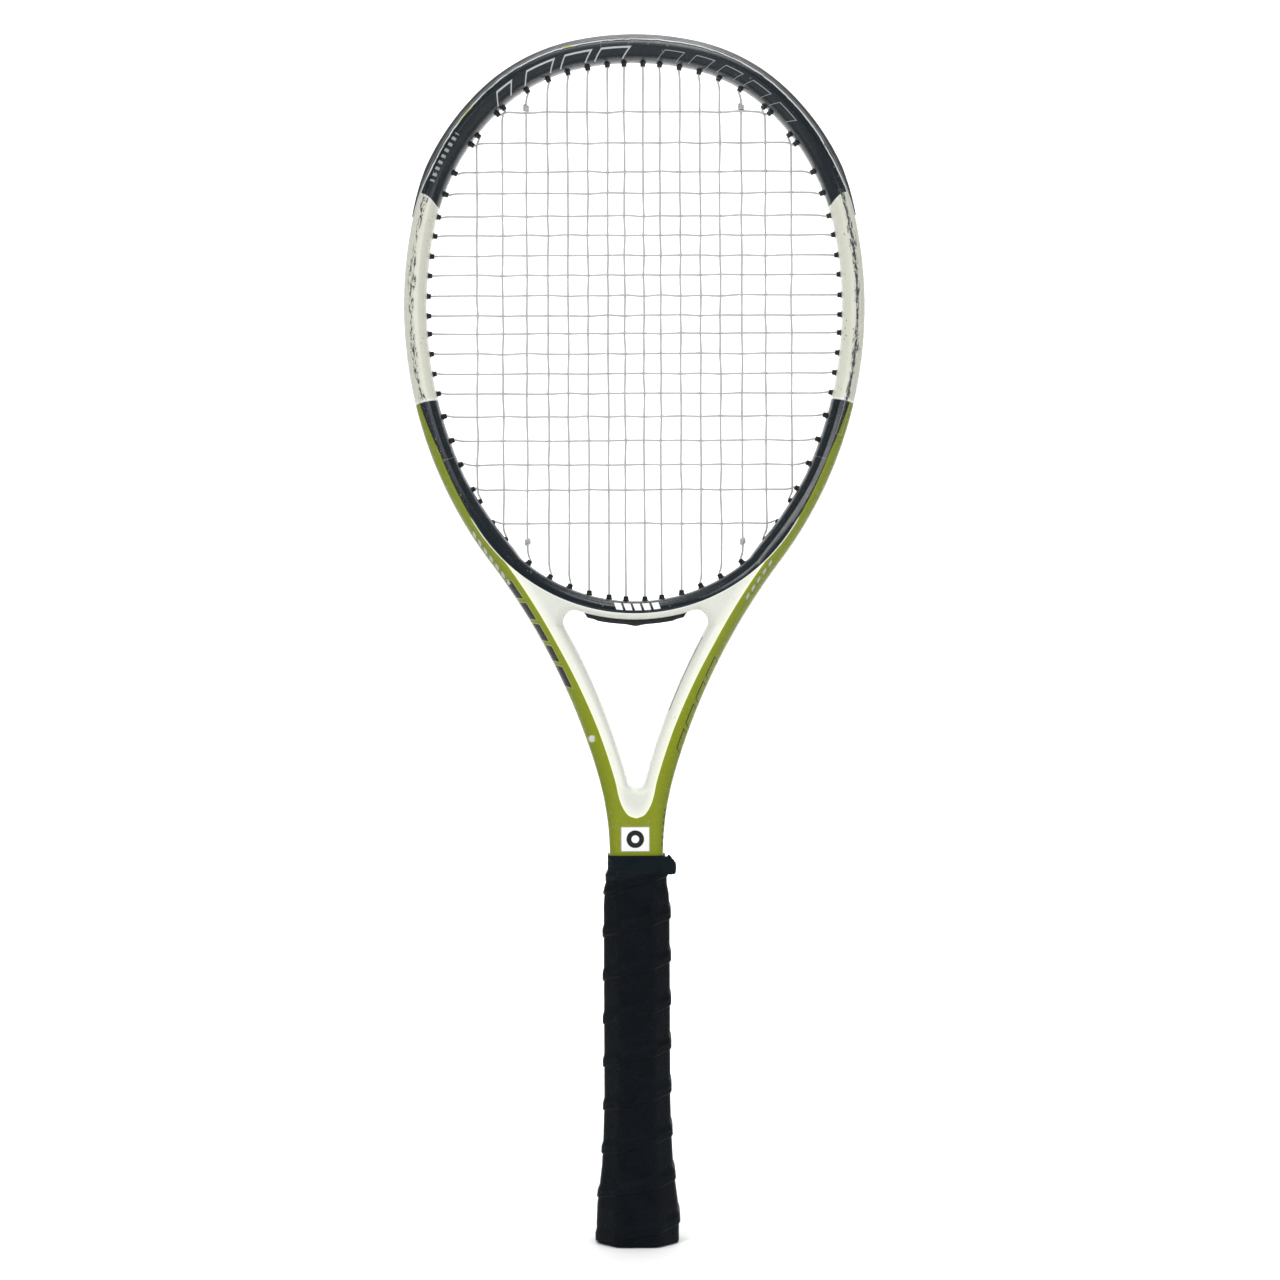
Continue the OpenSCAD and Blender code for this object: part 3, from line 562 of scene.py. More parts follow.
# [mm from the edge, share of the half depth] at the opening's rim, the bed and the arm
LOW_PROFILE = catmull([(0, .5), (.5, .68), (1.6, .83), (3.4, .915), (7.7, 1.0)], 4)
IN_PROFILE = catmull(HEAD_IN + [[7.3, 1.0]], 4)
ARM_PROFILE = catmull(HEAD_IN + [[7.7, 1.0]], 4)


def bridge_rings():
    top, low, control, edge, rim, kind = bridge_curves()
    n = len(top)
    rings = []
    for k in range(n):
        rows = []
        for t in (1 - np.cos(np.linspace(0, math.pi, 29))) / 2:
            p = lerp(lerp(top[k], control[k], t), lerp(control[k], low[k], t), t)
            far = np.hypot(*(rim - p).T)
            near = int(np.argmin(far))
            d1 = from_bed(p[0], p[1])
            h1 = table(d1, IN_PROFILE)
            h2 = lerp(table(far[near], LOW_PROFILE), table(far[near], ARM_PROFILE), kind[near])
            soft = 0.05 * (1 - kind[near]) * ramp(far[near], 0, 3)
            h = (h1 + h2 - math.sqrt((h1 - h2) ** 2 + soft * soft)) / 2
            past_ridge = min(1.0, 4 - 4 * edge[k]) * ramp(-np.linalg.norm(p - low[k]), -4, 0)
            lift = 0.06 - 0.3 * ease(k, n - 5, n - 1) - .18 * past_ridge
            rows.append((p, h * BEAM_D / 2 + lift, d1))
        rings.append(rows)
    return rings


def ridge_of(x, z):
    """How far a point of the bridge lies outward from the ridge line, never less than -6."""
    v = ARM_C - (x, z)
    q = Q_END - math.degrees(math.atan2(-v[1], v[0]))
    inward = np.hypot(*v) - ARM_R
    if q < Q_TURN:
        w = np.array((x, z)) - SIDE_C
        q = 90 - math.degrees(math.atan2(w[1], w[0]))
        inward = SIDE_R - np.hypot(*w)
    return max(-6.0, table(q, RIDGE) - inward)


def sweep_bridge():
    half = bridge_rings()
    rings = []
    for side, order in ((1, half[::-1]), (-1, half[1:])):
        for rows in order:
            front = [(side * p[0], -y, p[1]) for p, y, _ in rows]
            back = [(side * p[0], y, p[1]) for p, y, _ in rows[::-1]]
            rings.append(np.array(front + back))
    verts, faces = loft(rings)
    return Parts().shell(verts, faces, place=BRIDGE_PLACE, inward=12.0, run=run_of(BRIDGE_PLACE),
                         ridge=[ridge_of(abs(v[0]), v[2]) for v in verts],
                         bed=[from_bed(v[0], v[2]) for v in verts])


# ---- paint ------------------------------------------------------------------------------------
# LIME_SHADED is the lime with painted shade, used towards the outer edge of the bevel
NAVY, LIME, LIME_SHADED = (.0022, .0062, .0095), (.190, .228, .0012), (.118, .150, .0008)
# RIDGE_HIGHLIGHT is a painted highlight for the ridge of the arms
CREAM, RIDGE_HIGHLIGHT = (.60, .605, .52), (.83, .85, .62)
BLACK, SILVER, CHIP = (.004, .0045, .005), (.42, .44, .45), (.70, .72, .66)
# Places where the paint changes: cream starts, cream ends, the bridge's patch starts
CREAM_Q, LIME_Q, PATCH_Q = 71.9, 103.4, 112.0
BED_BAND = 7.25             # width of the black band on the bridge
BLOT_X, BLOT_Z = -25.0, 285.8
LABEL_X, LABEL_Z = -.6, 228.9
# Marks that stand where lettering would, as [start, end] along the outer edge
LEFT_SHAPES = (1, 19), (24, 41), (47, 66), (76, 88)
RIGHT_SHAPES = (19, 31), (38, 50), (57, 69), (76, 90), (97, 112)
ARM_BARS = (395, 407), (410, 421), (424, 435), (438, 448), (451, 464)
ARM_OUTLINES = (452, 464), (467, 478), (481, 493), (496, 508)
BRIDGE_BARS = (-10.2, -4.9, .4, 5.7, 11.0)


def filled(s, v, box, slant=0.0, soft=.12):
    """A slanted rectangle in the coordinates s and v."""
    s0, s1, v0, v1 = box
    return (s - (v - v0) * slant).band(s0, s1, soft) & v.band(v0, v1, soft)


def outline(s, v, box, slant, line):
    s0, s1, v0, v1 = box
    t = s - (v - v0) * slant
    return filled(t, v, box, 0.0, .1) - filled(t, v, (s0 + line, s1 - line, v0 + line, v1 - line), 0.0, .1)


def paint_material():
    net = Net("frame_paint")
    q, inward, ridge, bed, run = map(net.attr, ("place", "inward", "ridge", "bed", "run"))
    x, y, z = net.xyz()
    xm, ahead, zm = x * PER_M, y * -PER_M, z * PER_M
    left, front, facing = (xm * -1.0).over(0.0, .01), ahead.over(0.0, .01), ahead.over(6.0, .3)
    f_l, f_r = facing & left, facing & ~left
    fine, mid, slow = net.noise(900, 3, .6), net.noise(240, 3, .6), net.noise(26, 2, .5)
    # the lime is painted darker towards the outer edge and lighter towards the ridge, with a slow random
    # waver: painted shade across the outer bevel
    lime = net.mix((inward + slow * 2.0).ramp(0.5, 7.5), LIME_SHADED, LIME)
    # the cream is painted darker outside the ridge: painted shade on the outer bevel
    cream = net.mix(ridge.ramp(-.6, .8), CREAM, (.52, .525, .45))
    cream = net.mix(mid.ramp(.35, .75, 0.0, .12), cream, (.44, .43, .36))
    # the arms' white is painted lighter at the ridge and darker inward: a painted highlight and painted shade
    # across the inner bevel
    arm_white_shading = net.mix(ridge.ramp(.0, -5.5), (.77, .78, .69), (.62, .635, .575))
    navy = net.mix(slow.ramp(.3, .7, 0.0, .6), NAVY, (.0048, .0105, .0165))
    # the head is navy and then cream, with a border that bends a little across the tube
    across = inward.ramp(2.0, 12.0)
    side_q = across * across * 1.7 + CREAM_Q
    head = net.mix(q.over(side_q), navy, cream)
    # the arms and the shaft are lime outside the ridge line and white inside
    arms = net.mix((ridge * -1.0).over(0.0, .15), lime, arm_white_shading)
    near_bed = inward.over(q.ramp(LIME_Q, 111.0, 3.0, 5.6), .15) & ~q.over(PATCH_Q, .1)
    near_bed = near_bed | (~bed.over(BED_BAND, .15) & q.over(PATCH_Q - .1, .1))
    for mask, tint in (
            # a painted highlight along the ridge of the arms and the shaft
            (ridge.band(-.35, .45, .15) & q.over(124.0, 1.0), RIDGE_HIGHLIGHT),
            (near_bed, navy),
            # a painted highlight along the ridge at the edge of the bridge's black band
            ((bed.band(7.1, 7.6) & q.over(121.0, .5)) * .85, (.80, .82, .78))):
        arms = net.mix(mask, arms, tint)
    color = net.mix(q.over(LIME_Q), head, arms)
    rim = (q - side_q).band(-.12, .16, .08) | q.band(103.15, 103.45, .06)
    # flakes along the ridge of the cream zone, with a broken dark line within them
    side = left * 7.0
    along = net.vector(run * .22, inward * .9, side)
    flake, thin_flake = net.noise(1.0, 4, .72, along), net.noise(2.6, 3, .7, along)
    reach = net.noise(1.0, 1, .5, net.vector(run * .045, side, 0.0)).ramp(.35, .65, .5, 2.3)
    off = abs(ridge - .9)
    worn = (flake + thin_flake * .4).over(.73, .02) & ~off.over(reach, .35)
    line = ~(off + thin_flake * 2.0).over(1.62, .15) & (flake + left * -.11).over(.43, .02)
    worn = (worn | line) & q.band(71.0, 103.6, .4)
    chipped = net.mix(thin_flake.ramp(.45, .65), (.008, .015, .022), (.09, .11, .12))
    scuff = (thin_flake + flake * .5).over(.93, .03) & ridge.band(-.9, 1.3, .4) & q.band(104.0, 119.0, .5)
    dots = ~net.cells(420, (1, 1, .55)).over(.16, .03) & net.noise(70, 1, .5).over(.585, .02)
    blot = ((xm - BLOT_X).hypot(zm - BLOT_Z) + fine * 3.4)
    blot = ~blot.over(3.6, .3) & front
    # generic shapes, bars and dashes
    shapes = union(outline(run, inward, (*s, 6.6, 14), .9, .95) & f_l for s in LEFT_SHAPES)
    thin = union(outline(run, inward, (*s, 7.6, 14), -.9, .42) & f_r for s in RIGHT_SHAPES)
    dash = filled((run / 4.0).fract() * 4.0, inward, (.8, 2.6, 4.4, 7.0)) & run.band(122.0, 154.0, .2) & f_l
    rims = union(filled(run, inward, (a - .4, b + .4, -1, 4.2), .8) & f_l for a, b in ARM_BARS)
    bars = union(filled(run, inward, (*s, -1, 3.9), .8) & f_l for s in ARM_BARS)
    from_bed = q.ramp(Q_TURN - 12, Q_TURN, BEAM_W, ARM_W) - inward
    inner_line = run.band(442, 486, .3) & from_bed.band(.2, .9, .15)
    ticks = filled((zm / 4.0).fract(), inward / 4.0, (.2, .75, .1, .42)) & zm.band(223, 246, .2)
    bridge_bars = union(filled(xm, bed, (c - 1.9, c + 1.9, 1.6, 5.4), .35) for c in BRIDGE_BARS)
    layers = [
        (rim * .8, (.72, .74, .68)),
        (worn, chipped),
        ((dots & q.band(74.0, 103.0, .5)) * .8, (.10, .11, .12)),
        ((dots & (q.over(128.0, .5) | ~q.over(69.0, .5))) * .35, (.30, .31, .27)),
        (scuff, CHIP),
        (blot, (.50, .53, .46)),
        (shapes | (thin | dash) * .6, SILVER),
        ((outline(run, inward, (252, 304, 2.4, 6.0), 0.0, .3) & f_r) * .5, (.34, .34, .33)),
        (rims * .7, (.36, .40, .16)),
        (bars, BLACK),
        (union(outline(run, inward, (*s, -1, 3.6), -.8, .5) & f_r for s in ARM_OUTLINES), BLACK)]
    # small outlined dashes on the lime above the bars
    for lo, hi, v0, half in ((362, 400, .9, f_l), (386, 412, 3.2, f_r)):
        v = inward - v0
        step = ((run + v * 1.1) / 5.6).fract() * 5.6
        reach = run.band(lo, hi, .2) & half
        layers.append(((filled(step, v, (.5, 4.6, -.1, 2.2)) & reach) * .75, (.05, .06, .02)))
        layers.append((filled(step, v, (.9, 4.2, .25, 1.85)) & reach, (.33, .36, .27)))
    # square label with a plain ring
    dx, dz = xm - LABEL_X, zm - LABEL_Z
    label = net.mix(dx.band(-7.8, 7.8, .1) & dz.band(-6.7, 6.7, .1), (.30, .31, .28), (.80, .81, .80))
    label = net.mix(dx.hypot(dz).band(2.2, 5.0), label, BLACK)
    layers += [
        ((inner_line & f_r) * .9, BLACK),
        ((ticks & f_r) * .75, BLACK),
        (bridge_bars & front & ~zm.over(366, .1), (.82, .83, .84)),
        (dx.band(-8.2, 8.2, .15) & dz.band(-7.1, 7.1, .15) & front, label)]
    for mask, tint in layers:
        color = net.mix(mask, color, tint)
    rough = (mid + fine * .4).ramp(.4, 1.0, .16, .34) | (worn | scuff | blot) * .65
    flaw = net.noise(420, 3, .6) * .25 - (worn | dots * .6 | scuff | blot)
    return net.done(color, rough, net.bump(flaw, .00012, .55), Coat_Weight=.16, Coat_Roughness=.1, IOR=1.34)


PAINT = paint_material()
sweep_frame().build("frame_visual", material=PAINT, node="frame", slot="frame", smooth_angle=32)
sweep_bridge().build("throat_bridge_visual", material=PAINT, node="throat_bridge", slot="bridge",
                     smooth_angle=50)


# ---- string pattern, as in the CAD --------------------------------------------------------------
MAIN_GAPS = [5.4, 9.6, 11.3, 11.4, 11.3, 12.2, 13.6, 14.7]
CROSS_GAPS = [0, 19.1, 14.3, 13.7, 13.8, 13, 11.3, 11.4, 11.5, 10.3, 11.3, 11.7, 11.1, 11.6,
              10.9, 13, 12.2, 16.4, 17.6]
MAIN_X = np.cumsum(MAIN_GAPS)
CROSS_Z = 408.0 + np.cumsum(CROSS_GAPS)
MAINS, CROSSES = len(MAIN_X), len(CROSS_Z)
THROAT_MAINS = 3
BRIDGE_FLOOR_R = LOWER_R + 1.0
FLOOR_U = -(GROOVE - STRIP_T)
STRING_U = FLOOR_U + STRING_D / 2 + .1


def head_hole(q):
    """[point on the inner edge, angle of the axis, length to the groove floor, place]."""
    return (at(q, -BEAM_W), 90 - q, BEAM_W + FLOOR_U, q)


def to_circle(p, a, c, r, far):
    m = p - c
    b = float(m @ direction(a))
    s = b * b - float(m @ m) + r * r
    return 1e9 if s < 0 else -b + (1 if far else -1) * math.sqrt(s)


def arm_hole(a):
    p = BRIDGE_C + BRIDGE_R * direction(a)
    to_side = to_circle(p, a, SIDE_C, SIDE_R + FLOOR_U, True)
    on = p + to_side * direction(a) - SIDE_C
    side_q = 90 - angle_of(on)
    if side_q <= Q_TURN:
        return (p, a, to_side, side_q)
    to_arm = to_circle(p, a, ARM_C, ARM_R - FLOOR_U, False)
    on = ARM_C - p - to_arm * direction(a)
    return (p, a, to_arm, Q_END + angle_of(on))


def head_q(value, axis):
    for i in range(4):
        c = (value - CENTRES[i][axis]) / (ARCS[i][0] - BEAM_W)
        if abs(c) <= 1:
            a = math.degrees(math.acos(c) if axis == 0 else math.asin(c))
            low = max(ARCS[i][2], 0) if axis == 0 else ARCS[i][2]
            if a <= ARCS[i][1] + 1e-6 and a >= low:
                return 90 - a
    raise ValueError(value)


def main_bottom(i):
    a = -math.degrees(math.acos((MAIN_X[i] - SIDE_C[0]) / (SIDE_R - BEAM_W)))
    b = -math.degrees(math.acos(min(1, MAIN_X[i] / BRIDGE_R)))
    if a > BRIDGE_A:
        return head_hole(90 - a)
    if i >= THROAT_MAINS:
        return arm_hole(b)
    p = BRIDGE_C + BRIDGE_R * direction(b)
    place = -math.degrees(math.acos(MAIN_X[i] / BRIDGE_FLOOR_R))
    return (p, -90, to_circle(p, -90, BRIDGE_C, BRIDGE_FLOOR_R, True), place)


def cross_hole(i):
    q = head_q(CROSS_Z[i], 1)
    if 90 - q > BRIDGE_A:
        return head_hole(q)
    return arm_hole(math.degrees(math.asin((CROSS_Z[i] - BRIDGE_Z) / BRIDGE_R)))


TOP_HOLES = [head_hole(head_q(x, 0)) for x in MAIN_X]
BOTTOM_HOLES = [main_bottom(i) for i in range(MAINS)]
CROSS_HOLES = [cross_hole(i) for i in range(CROSSES)]
STRIP_HOLES = BOTTOM_HOLES[THROAT_MAINS:] + TOP_HOLES + CROSS_HOLES
BRIDGE_HOLES = BOTTOM_HOLES[:THROAT_MAINS]


def tip(hole, extra=.8):
    return hole[0] - (BARREL_OUT + extra) * direction(hole[1])


def on_outline(q, u, y, side):
    p = at(q, u)
    return [side * p[0], y, p[1]]


# ---- grommets and bumper ------------------------------------------------------------------------
# [mm out of the inner edge, radius] around a barrel's wall
BARREL_SIDES = 20
BARREL = [(-.6, 1.62), (.0, 1.62), (.05, 1.95), (.55, 1.95), (.75, 1.56), (1.9, 1.47), (2.25, 1.44),
          (2.48, 1.36), (2.6, 1.2), (2.6, .98), (2.4, .86), (-.6, .86)]


def barrel(parts, hole, side, seed):
    """A moulded barrel with a small collar and a rounded mouth, standing on the inner edge."""
    stretch = np.random.default_rng(seed).uniform(.92, 1.08)
    d = -direction(hole[1])
    n = np.array([-d[1], d[0]])
    a = np.arange(BARREL_SIDES) * 2 * math.pi / BARREL_SIDES
    rings = []
    for m, r in BARREL:
        c = hole[0] + d * (m * stretch if m > 1 else m)
        rings.append(np.stack([side * (c[0] + n[0] * r * np.cos(a)), r * np.sin(a),
                               c[1] + n[1] * r * np.cos(a)], 1))
    parts.shell(*loft(rings, caps=False, loop=True), inward=20.0)


def barrels(parts, holes, seed):
    for k, hole in enumerate(holes):
        for side in (1, -1):
            barrel(parts, hole, side, seed + 2 * k + (side > 0))
    return parts


BUMPER_Q, BUMPER_TAPER = 77.7, 12
rag_random = np.random.default_rng(7)
RAG_FINE = rag_random.uniform(-1, 1, 900)
RAG_LONG = rag_random.uniform(-1, 1, 260)


def ragged(s):
    """Uneven line along the bumper's worn lip: small waves with a few deeper notches."""
    a = np.interp(s * .9 % 890, np.arange(900), RAG_FINE)
    b = np.interp(s * .22 % 250, np.arange(260), RAG_LONG)
    return .16 * a + .26 * b - .5 * max(0.0, b - .45)


# ([mm out of the outer edge at the guard's ends, along its middle], [half widths there])
GUARD_BACK = [((-.2, -.75), (6.2, 7.6)), ((.1, -.15), (5.7, 7.15)), ((.22, .55), (5.3, 6.55)),
              ((.34, 1.35), (4.9, 5.9)), ((.38, 1.85), (4.3, 5.0)), ((.38, 1.98), (3.9, 4.2)),
              ((.3, 1.85), (3.35, 3.35)), ((0, .6), (2.9, 2.9)), ((-2.0, -2.0), (2.5, 2.5))]
GUARD_FACE = catmull(HEAD_OUT + [[6.0, 1.0]], 6)


def guard_ring(q, side):
    """One ring of the bumper guard at place q: its points, their way inward and from the lip."""
    t = ramp(BUMPER_Q - q, 0, BUMPER_TAPER)
    s = float(run_of(q)) * side + 400
    thick = lerp(.25, .62, t)

    def on_face(m, lift, sign):
        return (-m + lift * .55, sign * (table(m, GUARD_FACE) * half_depth_at(q) + lift))

    ring = []
    for sign, order in ((-1, 1), (1, -1)):
        w = lerp(.9, 2.75, t) + ragged(s + 37 * sign) * t
        face = [(.12, -.02), (w * .5, -.02), (w, -.02), (w + .04, thick * .55), (w * .93, thick),
                (w * .62, thick * 1.05), (w * .38, thick * 1.1)]
        points = [(-2.98, sign * 3.1), (-.35, sign * 3.85)] + [on_face(m, up, sign) for m, up in face]
        points += [(lerp(*u, t), sign * lerp(*y, t)) for u, y in GUARD_BACK]
        ring += points[::order]
    lip = [9, 9, 9, 9, .2, 0, .1, w * .33, w * .57] + [9] * len(GUARD_BACK)
    return np.array([on_outline(q, u, y, side) for u, y in ring]), \
        np.array([-u for u, _ in ring]), np.array(lip + lip[::-1])


def bumper():
    qs = np.arange(0, BUMPER_Q - .2, .42)
    rings, ins, lip = zip(*[guard_ring(q, 1) for q in qs[::-1]], *[guard_ring(q, -1) for q in qs[1:]])
    ins, lip = np.concatenate(ins), np.concatenate(lip)
    parts = Parts().shell(*loft(rings), inward=ins, lip=lip)
    return barrels(parts, [h for h in STRIP_HOLES if h[3] < BUMPER_Q - 1], 100)


THROAT_STRIP_A = 15.5        # half the strip's angle about the bridge's centre


def both_sides(half):
    return [(u, -y) for u, y in half] + [(u, y) for u, y in half[::-1]]


STRIP_RING = both_sides([(-GROOVE + .06, 3.05), (FLOOR_U - .1, 3.05), (FLOOR_U + .55, 2.95),
                         (FLOOR_U + .6, 2.7), (FLOOR_U + .55, 2.45), (FLOOR_U, 2.3)])


def strip(side):
    qs = np.arange(BUMPER_Q, Q_TURN + 11, .45)
    rings = [np.array([on_outline(q, u, y, side) for u, y in STRIP_RING]) for q in qs]
    parts = Parts().shell(*loft(rings), inward=3.0)
    for k, h in enumerate(h for h in STRIP_HOLES if h[3] >= BUMPER_Q - 1):
        barrel(parts, h, side, 200 + 2 * k + (side > 0))
    return parts


def throat_strip():
    rings = []
    for a in np.linspace(-THROAT_STRIP_A, THROAT_STRIP_A, 91):
        way = THROAT_STRIP_A - abs(a)
        edge, body = ease(way, 0, 1.4), ease(way, 3.0, 4.6)
        lump = math.exp(-(a / 1.9) ** 2)
        r = BRIDGE_T + lerp(.3, 2.35, edge) + .5 * body + 0.9 * lump
        f = BRIDGE_T + lerp(.2, 1.0, edge)
        ring = both_sides([(BRIDGE_T - .3, 5.6), (BRIDGE_T + .4, 5.75), (r - .35, 5.3), (r, 4.9),
                           (r, 3.4), (r - .3, 3.0), (f, 2.5)])
        points = [(BRIDGE_C + (BRIDGE_R + u) * direction(a - 90), y) for u, y in ring]
        rings.append(np.array([[p[0], y, p[1]] for p, y in points]))
    return barrels(Parts().shell(*loft(rings), inward=3.0), BRIDGE_HOLES, 300)


def nylon_material():
    net = Net("grommet_nylon")
    mid, fine = net.noise(500, 3, .6), net.noise(2200, 2, .5)
    color = net.mix(mid.ramp(.4, .7), (.0045, .0055, .0065), (.011, .013, .015))
    return net.done(color, mid.ramp(.3, .7, .36, .55), net.bump(mid + fine * .4, .0001, .5),
                    Specular_IOR_Level=.28)


def bumper_material():
    net = Net("bumper_plastic")
    inward, lip = net.attr("inward"), net.attr("lip")
    mid, fine, slow = net.noise(260, 4, .65), net.noise(1300, 3, .6), net.noise(45, 2, .5)
    color = net.mix(mid.ramp(.35, .7), (.021, .024, .028), (.038, .041, .046))
    for mask, tint in (
            # the worn lip shows pale and lime scuffs
            (~lip.over(slow.ramp(.3, .7, .18, .62), .1) & (mid + slow * .5).over(.56, .06),
             net.mix(slow.over(.56, .04), (.55, .58, .56), (.40, .44, .10))),
            # a painted highlight along a moulded edge further out, with a band of painted shade beside it
            ((inward.band(.55, .85) & (slow + mid * .4).over(.5, .1)) * .75, (.42, .44, .45)),
            ((inward.band(.95, 9.0) & lip.over(.55, .1)) * .8, (.006, .009, .013)),
            ((fine.over(.60, .04) & ~inward.over(-1.0, .4)) * .35, (.16, .17, .18)),
            # the barrels are black
            (inward.over(10.0, 1.0), (.006, .007, .008))):
        color = net.mix(mask, color, tint)
    return net.done(color, mid.ramp(.3, .7, .34, .52), net.bump(mid + fine * .5, .00016, .6))


NYLON = nylon_material()
bumper().build("bumper_guard_visual", material=bumper_material(), node="bumper_guard", slot="bumper",
               smooth_angle=38)
for node, parts in (("grommet_strip_left", strip(-1)), ("grommet_strip_right", strip(1)),
                    ("throat_grommet_strip", throat_strip())):
    parts.build(node + "_visual", material=NYLON, node=node, slot="grommets")


# ---- strings ------------------------------------------------------------------------------------
LANE, MAIN_WAVE, CROSS_WAVE = 1.0, .62, .74
MOUTH_EXTRA, BEND = .2, 6.0  # past the barrel's mouth, and the way over which a string bends to it
TAIL_Q = 4                   # how far along the groove an end of string goes past its last hole
string_random = np.random.default_rng(21)


def waves(us, keys, values):
    """Cosine interpolation of values given at keys, at the places us."""
    k = np.searchsorted(keys, us, side="right").clip(1, len(keys) - 1)
    a, b = np.asarray(keys)[k - 1], np.asarray(keys)[k]
    t = np.clip((us - a) / np.maximum(b - a, 1e-9), 0, 1)
    v = np.asarray(values)
    return v[k - 1] + (v[k] - v[k - 1]) * (1 - np.cos(math.pi * t)) / 2


def above(j, m, side):
    """1 where cross j passes behind main m, -1 where it passes in front."""
    return 1 if (m + j + (1 if side < 0 else 0)) % 2 == 0 else -1


def mouth(hole, side):
    p = hole[0] + (hole[2] + .1) * direction(hole[1])
    return [side * p[0], 0.0, p[1]]


def groove_run(q1, q2, side, y):
    gap = .8 if q2 > q1 else -.8
    n = max(2, int(abs(run_of(q2) - run_of(q1)) / 1.5))
    return [on_outline(q, STRING_U, y, side) for q in np.linspace(q1 + gap, q2 - gap, n)]


def bridge_run(a1, a2, y):
    points = [BRIDGE_C + (BRIDGE_FLOOR_R + STRING_D / 2) * direction(a) for a in np.linspace(a1, a2, 9)]
    return [[p[0], y, p[1]] for p in points[1:-1]]


CROSS_REACH = [tip(h)[0] for h in CROSS_HOLES]


def main_run(i, side):
    """One main from its lower mouth to its upper mouth, weaving through the crosses."""
    x = MAIN_X[i]
    b, t = BOTTOM_HOLES[i], TOP_HOLES[i]
    bt, tt = tip(b, MOUTH_EXTRA), tip(t, MOUTH_EXTRA)
    js = [j for j in range(CROSSES) if CROSS_REACH[j] > x + 1.5 and bt[1] + 2 < CROSS_Z[j] < tt[1] - 2]
    keys = [bt[1], *CROSS_Z[js], tt[1]]
    vals = [0.0] + [-above(j, i, side) * MAIN_WAVE for j in js] + [0.0]
    lateral = [0.0, *string_random.uniform(-.28, .28, len(js)), 0.0]
    z = np.linspace(bt[1], tt[1], int((tt[1] - bt[1]) / 1.5))
    y, dx = waves(z, keys, vals), waves(z, keys, lateral)
    # the string leaves its barrel along the barrel, and bends to its own line
    low, top = np.clip((z - bt[1]) / BEND, 0, 1), np.clip((tt[1] - z) / BEND, 0, 1)
    xx = x + dx + (bt[0] - x) * (1 - low) ** 2 + (tt[0] - x) * (1 - top) ** 2
    return [mouth(b, side)] + [[side * px, py, pz] for px, py, pz in zip(xx, y, z)] + [mouth(t, side)]


def main_loop(i, side):
    """The way outside the hoop from main i to the next one."""
    holes = BOTTOM_HOLES if i % 2 else TOP_HOLES
    q1, q2 = holes[i][3], holes[i + 1][3]
    if i % 2 and i < THROAT_MAINS:
        return [[side * p[0], p[1], p[2]] for p in bridge_run(q1, q2, -LANE)]
    return groove_run(q1, q2, side, -LANE)


def main_half(side):
    out = []
    for i in range(MAINS):
        run = main_run(i, side)
        out += run[::-1] if i % 2 else run
        if i < MAINS - 1:
            out += main_loop(i, side)
    q = BOTTOM_HOLES[-1][3]
    return out + groove_run(q, q + TAIL_Q, side, -LANE)


def cross_run(j):
    h = CROSS_HOLES[j]
    t, z0 = tip(h, MOUTH_EXTRA), CROSS_Z[j]
    ms = [m for m in range(MAINS) if MAIN_X[m] < t[0] - 1.5]
    keys = [-t[0], *-MAIN_X[ms[::-1]], *MAIN_X[ms], t[0]]
    vals = [above(j, m, -1) * CROSS_WAVE for m in ms[::-1]] + [above(j, m, 1) * CROSS_WAVE for m in ms]
    vals = [0.0, *vals, 0.0]
    drift = [0.0, *string_random.uniform(-.3, .3, 2 * len(ms)), 0.0]
    x = np.linspace(-t[0], t[0], int(2 * t[0] / 1.3))
    y, dz = waves(x, keys, vals), waves(x, keys, drift)
    end = np.clip((t[0] - np.abs(x)) / BEND, 0, 1)
    z = z0 + dz + (t[1] - z0) * (1 - end) ** 2
    return [mouth(h, -1)] + [[a, b, c] for a, b, c in zip(x, y, z)] + [mouth(h, 1)]


def cross_path():
    q0, q1 = CROSS_HOLES[0][3], CROSS_HOLES[-1][3]
    out = groove_run(q0 + TAIL_Q, q0, -1, LANE)
    for j in range(CROSSES):
        run = cross_run(j)
        out += run if j % 2 == 0 else run[::-1]
        if j < CROSSES - 1:
            out += groove_run(CROSS_HOLES[j][3], CROSS_HOLES[j + 1][3], 1 if j % 2 == 0 else -1, LANE)
    return out + groove_run(q1, q1 - TAIL_Q, 1, LANE)


def string_material(name, tint):
    net = Net(name)
    fibre, slow = net.noise(700, 3, .7), net.noise(30, 2, .5)
    light = net.mix(fibre.ramp(.3, .75), tint, tuple(c * .8 for c in tint))
    color = net.mix(slow.ramp(.35, .75, 0.0, .55), light, (.36, .39, .37))
    return net.done(color, fibre.ramp(.3, .7, .26, .5), net.bump(fibre, .00005, .5),
                    Transmission_Weight=.06, IOR=1.5)


MAIN_MAT = string_material("string_translucent", (.50, .525, .505))
CROSS_MAT = string_material("string_clear", (.53, .54, .525))
middle = bridge_run(-180 - BOTTOM_HOLES[0][3], BOTTOM_HOLES[0][3], -LANE)
main_path = main_half(-1)[::-1] + middle + main_half(1)
for node, path, mat in (("main_string", main_path, MAIN_MAT), ("cross_string", cross_path(), CROSS_MAT)):
    Parts().shell(*tube(path, STRING_D / 2)).build(node + "_visual", material=mat, node=node, slot="string")

KNOT_MAIN, KNOT_R, KNOT_STRING_R, KNOT_TURNS, KNOT_PITCH = 5, 1.27, .6, 2.6, 1.22
KNOT_TAIL = [(.5, -.35, .3), (1.1, -.6, .5), (1.7, -.7, .6)]


